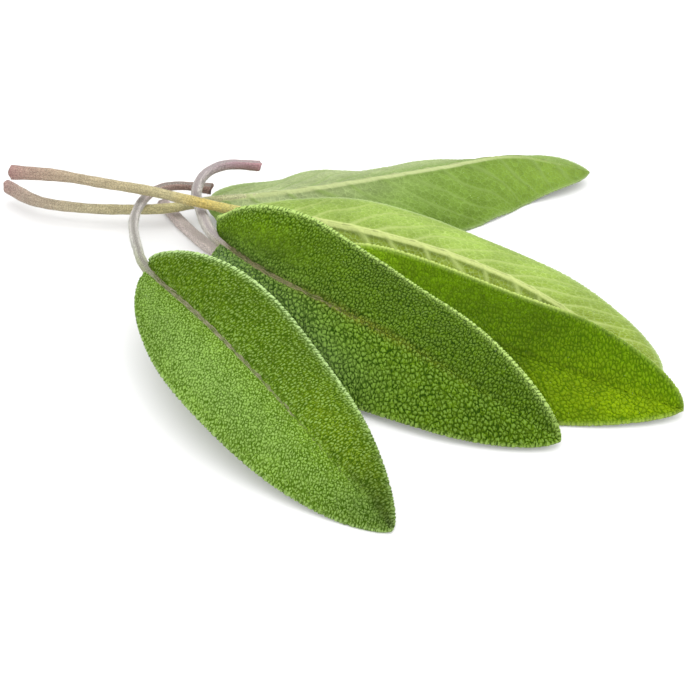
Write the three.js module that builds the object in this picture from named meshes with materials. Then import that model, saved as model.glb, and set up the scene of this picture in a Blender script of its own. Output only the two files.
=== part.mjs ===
// A sage bunch: five picked leaves lying in a loose fan with their stalks crossed.
// Millimetres, +Z up. The bunch lies on z = 0, with the middle of its box over the origin.
// A leaf is two meshes: the green blade, and the stalk that runs on through it as the midrib.
import * as THREE from 'three';

// ---------------------------------------------------------------------------
// Sizes that every leaf shares
// ---------------------------------------------------------------------------
const BLADE_THICKNESS = 0.6;
const STALK_GAP = 0.35; // free space between a blade and the midrib that lies against it

const BLADE_ROWS = 38; // steps from the base of a blade to its tip, two to each side vein
const HALF_COLUMNS = 8; // steps from the midrib to one margin
const VEIN_LEAN = 0.07; // how far a side vein leans towards the tip, as a share of the blade
const SCALLOP_DEPTH = 0.3; // how far the rounded teeth of the margin stand out
const PAD_RISE = 0.24; // height of the quilted pads between the veins
const MIDRIB_SINK = 0.2; // depth of the groove along the middle of the upper side

const LOBE_LENGTH = 0.05; // share of the blade over which the lobes beside the stalk fade out
const BASE_WIDTH_START = 0.004; // moves the width's zero just behind the base
const WAVE_COUNT = 4; // waves along a wavy margin

const STALK_SIDES = 8;
const STALK_STEPS = 20; // along the free stalk
const MIDRIB_STEPS = 12; // along the midrib
const MIDRIB_END = 0.86; // share of the blade where the midrib runs out
const CUT_RADIUS = 1.0; // at the cut end, which flares a little
const FLARE_LENGTH = 5;
const STALK_RADIUS = 0.84; // halfway along the free stalk
const BASE_RADIUS = 0.74; // where the blade starts
const MIDRIB_END_RADIUS = 0.26;
const GROOVE_SHARE = 0.72; // radius at the bottom of the stalk's groove, as a share of its radius
const CUT_SLANT = 0.7; // how far the cut end is out of square
const SINK_START = 7; // the stalk bends away from the blade between these two distances
const SINK_END = 1.5; //   ahead of the blade's base

const PRESSED_DEPTH = 0.2; // the lowest spots of the bunch are pressed flat by this much
const CURVE_STEPS = 40; // steps of the length table between two points of a curve
const SLOPE_STEP = 0.004; // step in which a blade's slope is measured

/** Which side of a leaf faces the sky. The midrib stands out of the underside. */
const Side = Object.freeze({ UPPER: 1, UNDER: -1 });

const COLOURS = Object.freeze({
  darkGreen: 0x4f7a2c,
  middleGreen: 0x446f2a,
  yellowGreen: 0x6f9a1c,
  paleGreen: 0xa3c26d,
  rearGreen: 0x93b765,
  greyMauve: 0xa89a8c,
  strawYellow: 0xc9bb88,
});

// ---------------------------------------------------------------------------
// The five leaves. `stalk` and `midrib` are points of one curve, from the cut end to the tip.
// A half of a blade has its width, its rise above level in degrees at even steps from base to
// tip, the extra rise at its margin, the powers that shape its outline and the lobe at its base.
// ---------------------------------------------------------------------------
const FRONT_LEAF = {
  name: 'front_leaf',
  faces: Side.UPPER,
  blade: COLOURS.darkGreen,
  stem: COLOURS.greyMauve,
  stalk: [
    [-18.5, 34.5, 3.25], [-24, 34.5, 3.75], [-27.5, 32, 4.25],
    [-29.5, 26.5, 5.25], [-30, 18, 7], [-28.5, 9, 8.25],
  ],
  midrib: [[-26, 2, 8.75], [-17, -10.5, 8.75], [-7.5, -23, 6.75], [1.5, -35, 3.75], [10.5, -47, 0.5]],
  roll: [0],
  near: { width: 11.5, rise: [4, 8, 11, 7, 4], curl: -20, base: 0.62, tip: 0.72, lobe: 0.25 },
  far: { width: 11.5, rise: [50, 27, 13, 16, 13], curl: -20, base: 0.46, tip: 0.8, lobe: 2.5 },
};

const MIDDLE_LEAF = {
  name: 'middle_leaf',
  faces: Side.UPPER,
  blade: COLOURS.middleGreen,
  stem: COLOURS.greyMauve,
  stalk: [
    [-10, 34, 7.5], [-15.5, 32, 9], [-19, 30, 8.5],
    [-20.5, 28, 6.5], [-20, 26, 4.75], [-18, 18, 5.75],
  ],
  midrib: [
    [-15.5, 14, 5.75], [-8, 3, 7.75], [2.5, -5.5, 7.5],
    [13.5, -13, 5.75], [24, -21, 3.5], [34.5, -29, 1.5],
  ],
  roll: [-8, -14, -16, -12, -4],
  near: { width: 13, rise: [8, 1, -2, 0, -3], curl: -10, base: 0.5, tip: 0.7, lobe: 1 },
  far: { width: 13.75, rise: [50, 12, -9, 2, 20], curl: -10, base: 0.42, tip: 0.74, lobe: 2.5 },
};

const RIGHT_LEAF = {
  name: 'right_leaf',
  faces: Side.UPPER,
  blade: COLOURS.yellowGreen,
  stem: COLOURS.greyMauve,
  stalk: [[-27, 33, 1], [-22, 25, 0.75], [-16.5, 18, 1], [-9.5, 12, 2.25]],
  midrib: [[-2.5, 6.5, 3.75], [11.5, -1, 3], [25.5, -8.5, 2.75], [39.5, -16, 2.25], [53.5, -22.5, 1.5]],
  roll: [0],
  near: { width: 13.5, rise: [-1, -3, -5, -5, -1], curl: -6, base: 0.5, tip: 0.82, lobe: 1 },
  far: { width: 12.75, rise: [26, 11, 6, 19, 30], curl: 0, base: 0.34, tip: 0.6, lobe: 1.25 },
};

const UPPER_LEAF = {
  name: 'upper_leaf',
  faces: Side.UNDER,
  blade: COLOURS.paleGreen,
  stem: COLOURS.strawYellow,
  stalk: [[-51.5, 30.5, 8.5], [-43.5, 29.5, 8.5], [-36, 28, 8], [-28, 26, 7.75], [-21, 23.5, 7.5]],
  midrib: [[-13, 22, 6.5], [1.5, 17.5, 7], [16.5, 14, 5], [30, 7.5, 3.25], [41, -3, 2.5], [51, -14.5, 1.5]],
  roll: [0],
  near: { width: 11, rise: [-24, -20, -15, -10, -7], curl: -5, base: 0.48, tip: 0.82, lobe: 1 },
  far: { width: 10.5, rise: [6, 7, -3, -5, -5], curl: -10, base: 0.6, tip: 0.68, lobe: 0.25 },
};

const REAR_LEAF = {
  name: 'rear_leaf',
  faces: Side.UNDER,
  blade: COLOURS.rearGreen,
  stem: COLOURS.strawYellow,
  stalk: [[-53.5, 35, 3], [-47.5, 30.5, 2.75], [-40, 28.5, 2.75], [-33, 28, 2.75], [-25.5, 28, 3]],
  midrib: [[-18, 29.5, 3.5], [-5, 29, 5.5], [8, 32.5, 5.5], [20.5, 37, 5], [33, 40.5, 5], [46, 40, 2.25]],
  roll: [0],
  near: {
    width: 13.75, rise: [-16, -17, -18, -19, -21], curl: -3, base: 0.56, tip: 0.78, lobe: 1,
    wave: 0.5, phase: 0.5,
  },
  far: {
    width: 11.5, rise: [-9, -14, -21, -26, -21], curl: -3, base: 0.52, tip: 0.68, lobe: 0.25,
    wave: 0.4, phase: -1.4,
  },
};

const LEAVES = [FRONT_LEAF, MIDDLE_LEAF, RIGHT_LEAF, UPPER_LEAF, REAR_LEAF];

// ---------------------------------------------------------------------------
// Curves and profiles
// ---------------------------------------------------------------------------
const UP = new THREE.Vector3(0, 0, 1);
const toVectors = (points) => points.map((point) => new THREE.Vector3(...point));

/** The line of a leaf from its cut end to its tip, measured from the base of the blade. */
class CentreLine {
  constructor(stalk, midrib) {
    const points = toVectors([...stalk, ...midrib]);
    points.forEach((point) => point.setZ(point.z - PRESSED_DEPTH));
    this.curve = new THREE.CatmullRomCurve3(points, false, 'catmullrom', 0.5);
    this.curve.arcLengthDivisions = CURVE_STEPS * (points.length - 1);
    const lengths = this.curve.getLengths();
    this.total = lengths[lengths.length - 1];
    this.stalkLength = lengths[CURVE_STEPS * stalk.length];
    this.bladeLength = this.total - this.stalkLength;
  }

  /** Centre, direction along, direction across towards the near half, and normal. */
  frameAt(distance, roll = 0) {
    const share = THREE.MathUtils.clamp((this.stalkLength + distance) / this.total, 0, 1);
    const along = this.curve.getTangentAt(share);
    const across = along.clone().cross(UP).normalize().applyAxisAngle(along, -roll);
    const normal = across.clone().cross(along);
    return { centre: this.curve.getPointAt(share), along, across, normal };
  }
}

/** A smooth curve through values given at even steps from 0 to 1. */
function smoothAlong(values, share) {
  if (values.length === 1) return values[0];
  const points = values.map((value, i) => new THREE.Vector3(i, value, 0));
  const t = THREE.MathUtils.clamp(share, 0, 1);
  return new THREE.CatmullRomCurve3(points, false, 'catmullrom', 0.5).getPoint(t).y;
}

/** Half width of a blade as a share of the widest: 0 at the tip, 1 where it is widest. */
function outlineShare(share, base, tip) {
  const shape = (x) => (x + BASE_WIDTH_START) ** base * (1 - x) ** tip;
  const widest = (base - tip * BASE_WIDTH_START) / (base + tip);
  return shape(THREE.MathUtils.clamp(share, 0, 1)) / shape(widest);
}

/** Runs from 0 to 1 between two distances. */
const ramp = (distance, start, end) => THREE.MathUtils.smoothstep(distance, start, end);

// ---------------------------------------------------------------------------
// Blade
// ---------------------------------------------------------------------------
/** A point of the blade's middle surface: `across` runs from -1, far margin, to 1, near margin. */
function bladePoint(leaf, line, share, across) {
  const half = across < 0 ? leaf.far : leaf.near;
  const out = Math.abs(across);
  const lobe = half.lobe * Math.exp(-share / LOBE_LENGTH) * out;
  const roll = THREE.MathUtils.degToRad(smoothAlong(leaf.roll, share));
  const frame = line.frameAt(line.bladeLength * share - lobe, roll);
  const reach = out * half.width * outlineShare(share, half.base, half.tip);
  const rise = THREE.MathUtils.degToRad(smoothAlong(half.rise, share) + half.curl * out);
  const swell = Math.sqrt(Math.sin(Math.PI * THREE.MathUtils.clamp(share, 0, 1)));
  const wave = (half.wave ?? 0) * Math.sin(2 * Math.PI * WAVE_COUNT * share + (half.phase ?? 0));
  return frame.centre
    .addScaledVector(frame.across, Math.sign(across) * reach * Math.cos(rise))
    .addScaledVector(frame.normal, reach * Math.sin(rise) + wave * out * out * swell);
}

/** The blade's upward normal, from the slope between two points along and two across. */
function bladeNormal(leaf, line, share, across) {
  const inside = THREE.MathUtils.clamp(share, SLOPE_STEP, 0.97);
  const half = across < 0 ? -1 : 1;
  const inner = half * Math.max(Math.abs(across) - 0.1, 0);
  const outer = half * Math.max(Math.abs(across), 0.1);
  const ahead = bladePoint(leaf, line, inside + SLOPE_STEP, across);
  const behind = bladePoint(leaf, line, inside - SLOPE_STEP, across);
  const along = ahead.sub(behind);
  const out = bladePoint(leaf, line, inside, outer).sub(bladePoint(leaf, line, inside, inner));
  return out.multiplyScalar(half).cross(along).normalize();
}

/** Height of the quilting: side veins on even rows, cross veins on even columns, pads between. */
function quilting(leaf, row, column) {
  if (row === 0 || row === BLADE_ROWS || Math.abs(column) === HALF_COLUMNS) return 0;
  if (column === 0) return -leaf.faces * MIDRIB_SINK;
  const onVein = row % 2 === 0 || Math.abs(column) % 2 === 0;
  return leaf.faces * (onVein ? -PAD_RISE / 2 : PAD_RISE);
}

/** The upper and lower point of the blade at one crossing of a row and a column. */
function bladePair(leaf, line, row, column) {
  const step = row / BLADE_ROWS;
  const out = Math.abs(column) / HALF_COLUMNS;
  const share = step + VEIN_LEAN * out * 4 * step * (1 - step);
  const widest = (column < 0 ? leaf.far : leaf.near).width;
  const tooth = Math.abs(column) === HALF_COLUMNS && row % 2 === 1 ? SCALLOP_DEPTH / widest : 0;
  const across = Math.sign(column) * (out + tooth);
  const normal = bladeNormal(leaf, line, share, across);
  const middle = bladePoint(leaf, line, share, across);
  middle.addScaledVector(normal, quilting(leaf, row, column));
  const upper = middle.clone().addScaledVector(normal, BLADE_THICKNESS / 2);
  const lower = middle.clone().addScaledVector(normal, -BLADE_THICKNESS / 2);
  lower.z = Math.max(lower.z, 0); // where the leaf touches the surface it is pressed flat
  upper.z = Math.max(upper.z, BLADE_THICKNESS);
  return { upper, lower };
}

/** A closed mesh from points and triangles, leaving out triangles that have lost a side. */
function closedGeometry(points, triangles) {
  const kept = triangles.filter(([a, b, c]) => a !== b && b !== c && c !== a);
  const geometry = new THREE.BufferGeometry();
  const flat = points.flatMap((point) => point.toArray());
  geometry.setAttribute('position', new THREE.Float32BufferAttribute(flat, 3));
  geometry.setIndex(kept.flat());
  geometry.computeVertexNormals();
  return geometry;
}

/** The blade of one leaf: two alike faces joined round the margin, drawn to a point at the tip. */
function bladeGeometry(leaf, line) {
  const columns = 2 * HALF_COLUMNS;
  const points = [];
  const upper = [];
  const lower = [];
  for (let row = 0; row <= BLADE_ROWS; row += 1) {
    for (let column = 0; column <= columns; column += 1) {
      const atTip = row === BLADE_ROWS;
      if (!atTip || column === 0) {
        const pair = bladePair(leaf, line, row, atTip ? 0 : column - HALF_COLUMNS);
        points.push(pair.upper, pair.lower);
      }
      upper.push(points.length - 2);
      lower.push(points.length - 1);
    }
  }
  const at = (row, column) => row * (columns + 1) + column;
  const triangles = [];
  const wall = (a, b) => {
    triangles.push([upper[a], lower[a], lower[b]], [upper[a], lower[b], upper[b]]);
  };
  for (let row = 0; row < BLADE_ROWS; row += 1) {
    for (let column = 0; column < columns; column += 1) {
      const [a, b] = [at(row, column), at(row, column + 1)];
      const [c, d] = [at(row + 1, column + 1), at(row + 1, column)];
      const cells = column < HALF_COLUMNS ? [[a, b, c], [a, c, d]] : [[a, b, d], [b, c, d]];
      for (const [i, j, k] of cells) {
        triangles.push([upper[i], upper[j], upper[k]], [lower[i], lower[k], lower[j]]);
      }
    }
    wall(at(row + 1, 0), at(row, 0));
    wall(at(row, columns), at(row + 1, columns));
  }
  for (let column = 0; column < columns; column += 1) wall(at(0, column), at(0, column + 1));
  return closedGeometry(points, triangles);
}

// ---------------------------------------------------------------------------
// Stalk and midrib
// ---------------------------------------------------------------------------
/** Radius of the stalk at a distance from the blade's base, negative on the free stalk. */
function stalkRadius(line, distance) {
  if (distance > 0) {
    const share = distance / (line.bladeLength * MIDRIB_END);
    return THREE.MathUtils.lerp(BASE_RADIUS, MIDRIB_END_RADIUS, Math.min(share, 1));
  }
  const plain = THREE.MathUtils.lerp(BASE_RADIUS, STALK_RADIUS, -distance / line.stalkLength);
  const flare = 1 - ramp(distance + line.stalkLength, 0, FLARE_LENGTH);
  return THREE.MathUtils.lerp(plain, CUT_RADIUS, flare);
}

/** One ring of the stalk, grooved on the side that faces the leaf's upper side. */
function stalkRing(leaf, line, distance) {
  const share = Math.max(distance / line.bladeLength, 0);
  const roll = THREE.MathUtils.degToRad(smoothAlong(leaf.roll, share));
  const frame = line.frameAt(distance, roll);
  const radius = stalkRadius(line, distance);
  const below = BLADE_THICKNESS / 2 + PAD_RISE + STALK_GAP + radius;
  const sink = below * ramp(distance, -SINK_START, -SINK_END);
  const centre = frame.centre.addScaledVector(frame.normal, -leaf.faces * sink);
  const slant = distance === -line.stalkLength ? CUT_SLANT : 0;
  return Array.from({ length: STALK_SIDES }, (_, i) => {
    const angle = (2 * Math.PI * (i + 0.5)) / STALK_SIDES;
    const up = Math.sin(angle) * leaf.faces;
    const grooved = distance < 0 && up > Math.cos(Math.PI / 4) ? GROOVE_SHARE : 1;
    const point = centre.clone()
      .addScaledVector(frame.across, radius * Math.cos(angle))
      .addScaledVector(frame.normal, radius * Math.sin(angle) * grooved)
      .addScaledVector(frame.along, slant * Math.cos(angle));
    point.z = Math.max(point.z, 0);
    return point;
  });
}

/** The stalk of one leaf from its cut end to the end of the midrib, closed at both ends. */
function stalkGeometry(leaf, line) {
  const distances = [];
  for (let i = 0; i < STALK_STEPS; i += 1) distances.push(-line.stalkLength * (1 - i / STALK_STEPS));
  for (let i = 0; i <= MIDRIB_STEPS; i += 1) {
    distances.push((line.bladeLength * MIDRIB_END * i) / MIDRIB_STEPS);
  }
  const rings = distances.map((distance) => stalkRing(leaf, line, distance));
  const points = rings.flat();
  const triangles = [];
  const at = (ring, side) => ring * STALK_SIDES + (side % STALK_SIDES);
  for (let ring = 0; ring + 1 < rings.length; ring += 1) {
    for (let side = 0; side < STALK_SIDES; side += 1) {
      const [a, b] = [at(ring, side), at(ring, side + 1)];
      const [c, d] = [at(ring + 1, side + 1), at(ring + 1, side)];
      triangles.push([a, c, b], [a, d, c]);
    }
  }
  const middleOf = (ring) => ring
    .reduce((sum, point) => sum.add(point), new THREE.Vector3())
    .divideScalar(ring.length);
  points.push(middleOf(rings[0]), middleOf(rings.at(-1)));
  for (let side = 0; side < STALK_SIDES; side += 1) {
    const last = rings.length - 1;
    triangles.push([points.length - 2, at(0, side), at(0, side + 1)]);
    triangles.push([points.length - 1, at(last, side + 1), at(last, side)]);
  }
  return closedGeometry(points, triangles);
}

// ---------------------------------------------------------------------------
// The bunch
// ---------------------------------------------------------------------------
function namedMesh(name, geometry, color, roughness) {
  const material = new THREE.MeshStandardMaterial({ color, roughness, metalness: 0 });
  const mesh = new THREE.Mesh(geometry, material);
  mesh.name = name;
  return mesh;
}

function makeLeaf(leaf) {
  const line = new CentreLine(leaf.stalk, leaf.midrib);
  const group = new THREE.Group();
  group.add(namedMesh(`${leaf.name}_blade`, bladeGeometry(leaf, line), leaf.blade, 0.7));
  group.add(namedMesh(`${leaf.name}_stalk`, stalkGeometry(leaf, line), leaf.stem, 0.8));
  return group;
}

const bunch = new THREE.Group();
bunch.add(...LEAVES.map(makeLeaf));
const middle = new THREE.Box3().setFromObject(bunch, true).getCenter(new THREE.Vector3());
bunch.position.set(-middle.x, -middle.y, 0);

export default bunch;
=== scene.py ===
"""A sage bunch: five picked leaves lying in a loose fan with their stalks crossed.

Every leaf is three pieces: the blade, which stands for the CAD node of the blade, the stalk that
runs on as the midrib, which stands for the CAD node of the stalk, and the fine down on both.
Sizes are in millimetres and turn into metres where a mesh is made. On the centre line of a leaf,
distances count from the base of the blade: below zero on the free stalk, above it on the blade.
"""

from __future__ import annotations

import functools
import logging
import math
from collections.abc import Mapping, Sequence
from dataclasses import dataclass, field
from enum import Enum
from typing import NamedTuple

import bpy
import numpy as np
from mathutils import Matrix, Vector

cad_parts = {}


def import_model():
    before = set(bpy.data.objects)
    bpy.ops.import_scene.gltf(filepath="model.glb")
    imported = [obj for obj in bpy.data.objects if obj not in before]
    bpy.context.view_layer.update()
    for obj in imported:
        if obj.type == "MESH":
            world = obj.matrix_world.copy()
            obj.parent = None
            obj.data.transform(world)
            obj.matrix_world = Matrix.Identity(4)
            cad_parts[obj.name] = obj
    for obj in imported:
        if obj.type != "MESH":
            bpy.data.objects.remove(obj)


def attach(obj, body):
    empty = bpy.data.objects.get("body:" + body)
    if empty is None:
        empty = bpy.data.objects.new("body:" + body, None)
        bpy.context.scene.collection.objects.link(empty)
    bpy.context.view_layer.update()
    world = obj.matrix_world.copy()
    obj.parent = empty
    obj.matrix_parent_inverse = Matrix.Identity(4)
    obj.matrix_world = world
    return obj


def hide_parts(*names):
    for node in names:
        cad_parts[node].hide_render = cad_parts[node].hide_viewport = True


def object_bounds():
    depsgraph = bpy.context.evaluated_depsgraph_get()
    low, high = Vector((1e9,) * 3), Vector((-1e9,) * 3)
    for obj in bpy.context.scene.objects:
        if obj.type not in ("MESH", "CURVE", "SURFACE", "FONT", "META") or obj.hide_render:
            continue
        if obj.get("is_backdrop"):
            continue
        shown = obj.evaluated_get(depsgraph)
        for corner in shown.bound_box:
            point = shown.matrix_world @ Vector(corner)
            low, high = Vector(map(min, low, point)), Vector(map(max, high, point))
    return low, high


LOG = logging.getLogger("sage")

MM = 0.001
BODY = "root"
BAKE_MAP = "OFBake"

# Placing of the bunch, as in the CAD source: the lowest spots are pressed flat and the middle of
# the box comes over the origin
PRESSED_DEPTH = 0.2
BUNCH_SHIFT = (0.019, -0.272, -PRESSED_DEPTH)

CURVE_STEPS = 60  # steps from one point of a curve to the next
NO_LENGTH = 1e-12  # keeps a vector of no length from dividing by zero
FLOOR_RATIO = 3  # the grid of a blade's floor side is this many times coarser

Colour = tuple[float, float, float]
Point = tuple[float, float, float]
Array = np.ndarray
Piece = bpy.types.Object
Tree = bpy.types.NodeTree
Socket = bpy.types.NodeSocket


class Side(Enum):
    """Which side of a leaf faces the sky."""

    UPPER = 1
    UNDER = -1


# --- Curves and profiles ---
def through(values: Array, steps: int) -> Array:
    """Runs a Catmull-Rom curve through evenly spaced values.

    Args:
        values: The values or points to run through, one a row.
        steps: Steps from one value to the next.

    Returns:
        The curve's values, the last one of `values` included.
    """
    ahead, behind = 2 * values[0] - values[1], 2 * values[-1] - values[-2]
    padded = np.concatenate([[ahead], values, [behind]])
    t = np.linspace(0, 1, steps, endpoint=False)[:, None]
    parts = []
    for before, start, stop, after in zip(padded, padded[1:], padded[2:], padded[3:]):
        leaving, arriving = (stop - before) / 2, (after - start) / 2
        parts.append(
            (2 * t**3 - 3 * t**2 + 1) * start
            + (t**3 - 2 * t**2 + t) * leaving
            + (3 * t**2 - 2 * t**3) * stop
            + (t**3 - t**2) * arriving
        )
    return np.concatenate([*parts, values[-1:]])


def smooth_along(stations: Sequence[float], share: Array) -> Array:
    """Reads a smooth curve through values at even steps from 0 to 1.

    Args:
        stations: The values, one or more.
        share: Where to read the curve.

    Returns:
        The curve's value at each share.
    """
    if len(stations) == 1:
        return np.full_like(share, stations[0])
    curve = through(np.array(stations, float)[:, None], CURVE_STEPS)[:, 0]
    return np.interp(share, np.linspace(0, 1, len(curve)), curve)


def unit(vectors: Array) -> Array:
    """Scales each vector to length 1."""
    return vectors / np.maximum(np.linalg.norm(vectors, axis=-1, keepdims=True), NO_LENGTH)


def ramp(value: Array, start: float, end: float) -> Array:
    """Rises smoothly from 0 at `start` to 1 at `end`, or falls where `end` is the lower."""
    t = np.clip((value - start) / (end - start), 0, 1)
    return t * t * (3 - 2 * t)


def bell(value: Array, width: float | Array) -> Array:
    """Falls from 1 where `value` is 0 to almost 0 at twice the width, both ways."""
    return np.exp(-((value / width) ** 2))


class Drift(NamedTuple):
    """A slow wave that makes even steps uneven.

    Attributes:
        height: How far it moves them.
        rate: Radians of the wave in one step.
    """

    height: float
    rate: float

    def at(self, value: Array, start: float | Array) -> Array:
        """Height of the wave at each value, where it starts with the angle `start`."""
        return self.height * np.sin(self.rate * value + start)


class Frame(NamedTuple):
    """Places on a leaf's centre line, with the directions to the tip, the near half and the sky."""

    centre: Array
    along: Array
    across: Array
    normal: Array


class CentreLine:
    """The line of a leaf from its cut end to its tip.

    Attributes:
        points: Close points along the line.
        lengths: Millimetres from the cut end to each point.
        tangents: Direction to the tip at each point.
        stalk_length: Millimetres from the cut end to the base of the blade.
        blade_length: Millimetres from there to the tip.
    """

    def __init__(self, stalk: Sequence[Point], midrib: Sequence[Point]) -> None:
        """Measures the line.

        Args:
            stalk: Points of the free stalk, from the cut end.
            midrib: Points from the base of the blade to its tip.
        """
        self.points = through(np.array([*stalk, *midrib], float) + BUNCH_SHIFT, CURVE_STEPS)
        steps = np.linalg.norm(np.diff(self.points, axis=0), axis=1)
        self.lengths = np.concatenate([[0.0], np.cumsum(steps)])
        self.tangents = unit(np.gradient(self.points, axis=0))
        self.stalk_length = float(self.lengths[CURVE_STEPS * len(stalk)])
        self.blade_length = float(self.lengths[-1]) - self.stalk_length

    def frame_at(self, distance: Array, roll: Array) -> Frame:
        """Places on the line.

        Args:
            distance: Millimetres from the base of the blade.
            roll: Turn about the line in degrees, the near half upwards.

        Returns:
            The centre, along to the tip, across to the near half, and the normal.
        """
        reached = np.clip(distance + self.stalk_length, 0, self.lengths[-1])
        centre, along = (
            np.stack([np.interp(reached, self.lengths, table[:, k]) for k in range(3)], -1)
            for table in (self.points, self.tangents)
        )
        along = unit(along)
        level = unit(np.cross(along, [0.0, 0.0, 1.0]))
        rise = np.cross(level, along)
        cos, sin = np.cos(np.radians(roll))[..., None], np.sin(np.radians(roll))[..., None]
        return Frame(centre, along, level * cos + rise * sin, rise * cos - level * sin)


# --- Meshes ---
def linked(name: str, data: bpy.types.ID) -> Piece:
    """Makes an object that holds this data and links it to the scene.

    Args:
        name: Name of the object.
        data: Its mesh, lamp or camera.

    Returns:
        The object, at the origin.
    """
    made = bpy.data.objects.new(name, data)
    bpy.context.scene.collection.objects.link(made)
    return made


@dataclass
class Shell:
    """A closed mesh being gathered.

    Attributes:
        points: Its points in millimetres.
        faces: Arrays of triangles and of four-sided faces, as point numbers.
        maps: For each array in `faces`, the bake map's place of every corner.
        values: Numbers or vectors kept at every point, by attribute name.
    """

    points: Array
    faces: list[Array] = field(default_factory=list)
    maps: list[Array] = field(default_factory=list)
    values: dict[str, Array] = field(default_factory=dict)

    def add(self, faces: Array, places: Array) -> None:
        """Adds faces, with the bake map's place of each point of the shell."""
        self.faces.append(faces)
        self.maps.append(places[faces])

    def make(self, name: str) -> Piece:
        """Makes the mesh and its object.

        Args:
            name: Name of both.

        Returns:
            The object, linked to the scene, with its place in its mesh.
        """
        mesh = bpy.data.meshes.new(name)
        corners = np.concatenate([block.ravel() for block in self.faces])
        sizes = np.concatenate([np.full(len(block), block.shape[1]) for block in self.faces])
        mesh.vertices.add(len(self.points))
        mesh.vertices.foreach_set("co", (self.points * MM).astype(np.float32).ravel())
        mesh.loops.add(len(corners))
        mesh.loops.foreach_set("vertex_index", corners.astype(np.int32))
        mesh.polygons.add(len(sizes))
        starts = np.concatenate([[0], np.cumsum(sizes)[:-1]])
        mesh.polygons.foreach_set("loop_start", starts.astype(np.int32))
        mesh.polygons.foreach_set("use_smooth", np.ones(len(sizes), bool))
        layer = mesh.uv_layers.new(name=BAKE_MAP)
        places = np.concatenate([block.reshape(-1, 2) for block in self.maps])
        layer.uv.foreach_set("vector", places.astype(np.float32).ravel())
        for key, value in self.values.items():
            kind, what = ("FLOAT_VECTOR", "vector") if value.ndim == 2 else ("FLOAT", "value")
            attribute = mesh.attributes.new(key, kind, "POINT")
            attribute.data.foreach_set(what, value.astype(np.float32).ravel())
        mesh.update(calc_edges=True)
        mesh.validate()
        return linked(name, mesh)


def grid_faces(numbers: Array) -> Array:
    """Four-sided faces of a grid of point numbers, facing across turned towards along."""
    start, stop = numbers[:-1], numbers[1:]
    return np.stack([start[:, :-1], start[:, 1:], stop[:, 1:], stop[:, :-1]], -1).reshape(-1, 4)


def corners(grid: Array) -> list[Array]:
    """The four corners of each field of a grid, facing along turned towards across."""
    return [grid[:-1, :-1], grid[1:, :-1], grid[1:, 1:], grid[:-1, 1:]]


def numbered(first: int, rows: int, columns: int) -> Array:
    """Numbers the points of a grid from `first` on, with one number for its last row, the tip."""
    body = first + np.arange(rows * (columns + 1)).reshape(rows, columns + 1)
    return np.vstack([body, np.full(columns + 1, first + body.size)])


def listed(grid: Array) -> Array:
    """Lists what a grid holds in the order of its points, with the tip once."""
    return np.concatenate([grid[:-1].reshape(-1, *grid.shape[2:]), grid[-1:, 0]])


def thinned(grid: Array) -> Array:
    """Keeps the points of a grid that the coarser floor side has."""
    return grid[::FLOOR_RATIO, ::FLOOR_RATIO]


def ring(grid: Array) -> Array:
    """Lists the outer ring of a grid: far margin, tip, near margin and base."""
    return np.concatenate([grid[:-1, 0], grid[-1, :1], grid[-2::-1, -1], grid[0, -2:0:-1]])


def lace(fine: Array, coarse: Array) -> Array:
    """Joins two closed rings of points, one with a whole number of times more points.

    Args:
        fine: Point numbers of the finer ring.
        coarse: Point numbers of the coarser ring, starting beside the finer one's start.

    Returns:
        The triangles between the rings.
    """
    ratio = len(fine) // len(coarse)
    switch = (ratio + 1) // 2
    triangles = []
    for i, low in enumerate(coarse):
        upper = [fine[(ratio * i + k) % len(fine)] for k in range(ratio + 1)]
        following = coarse[(i + 1) % len(coarse)]
        triangles += [(upper[k], upper[k + 1], low) for k in range(switch)]
        triangles.append((upper[switch], following, low))
        triangles += [(upper[k], upper[k + 1], following) for k in range(switch, ratio)]
    return np.array(triangles)


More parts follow.
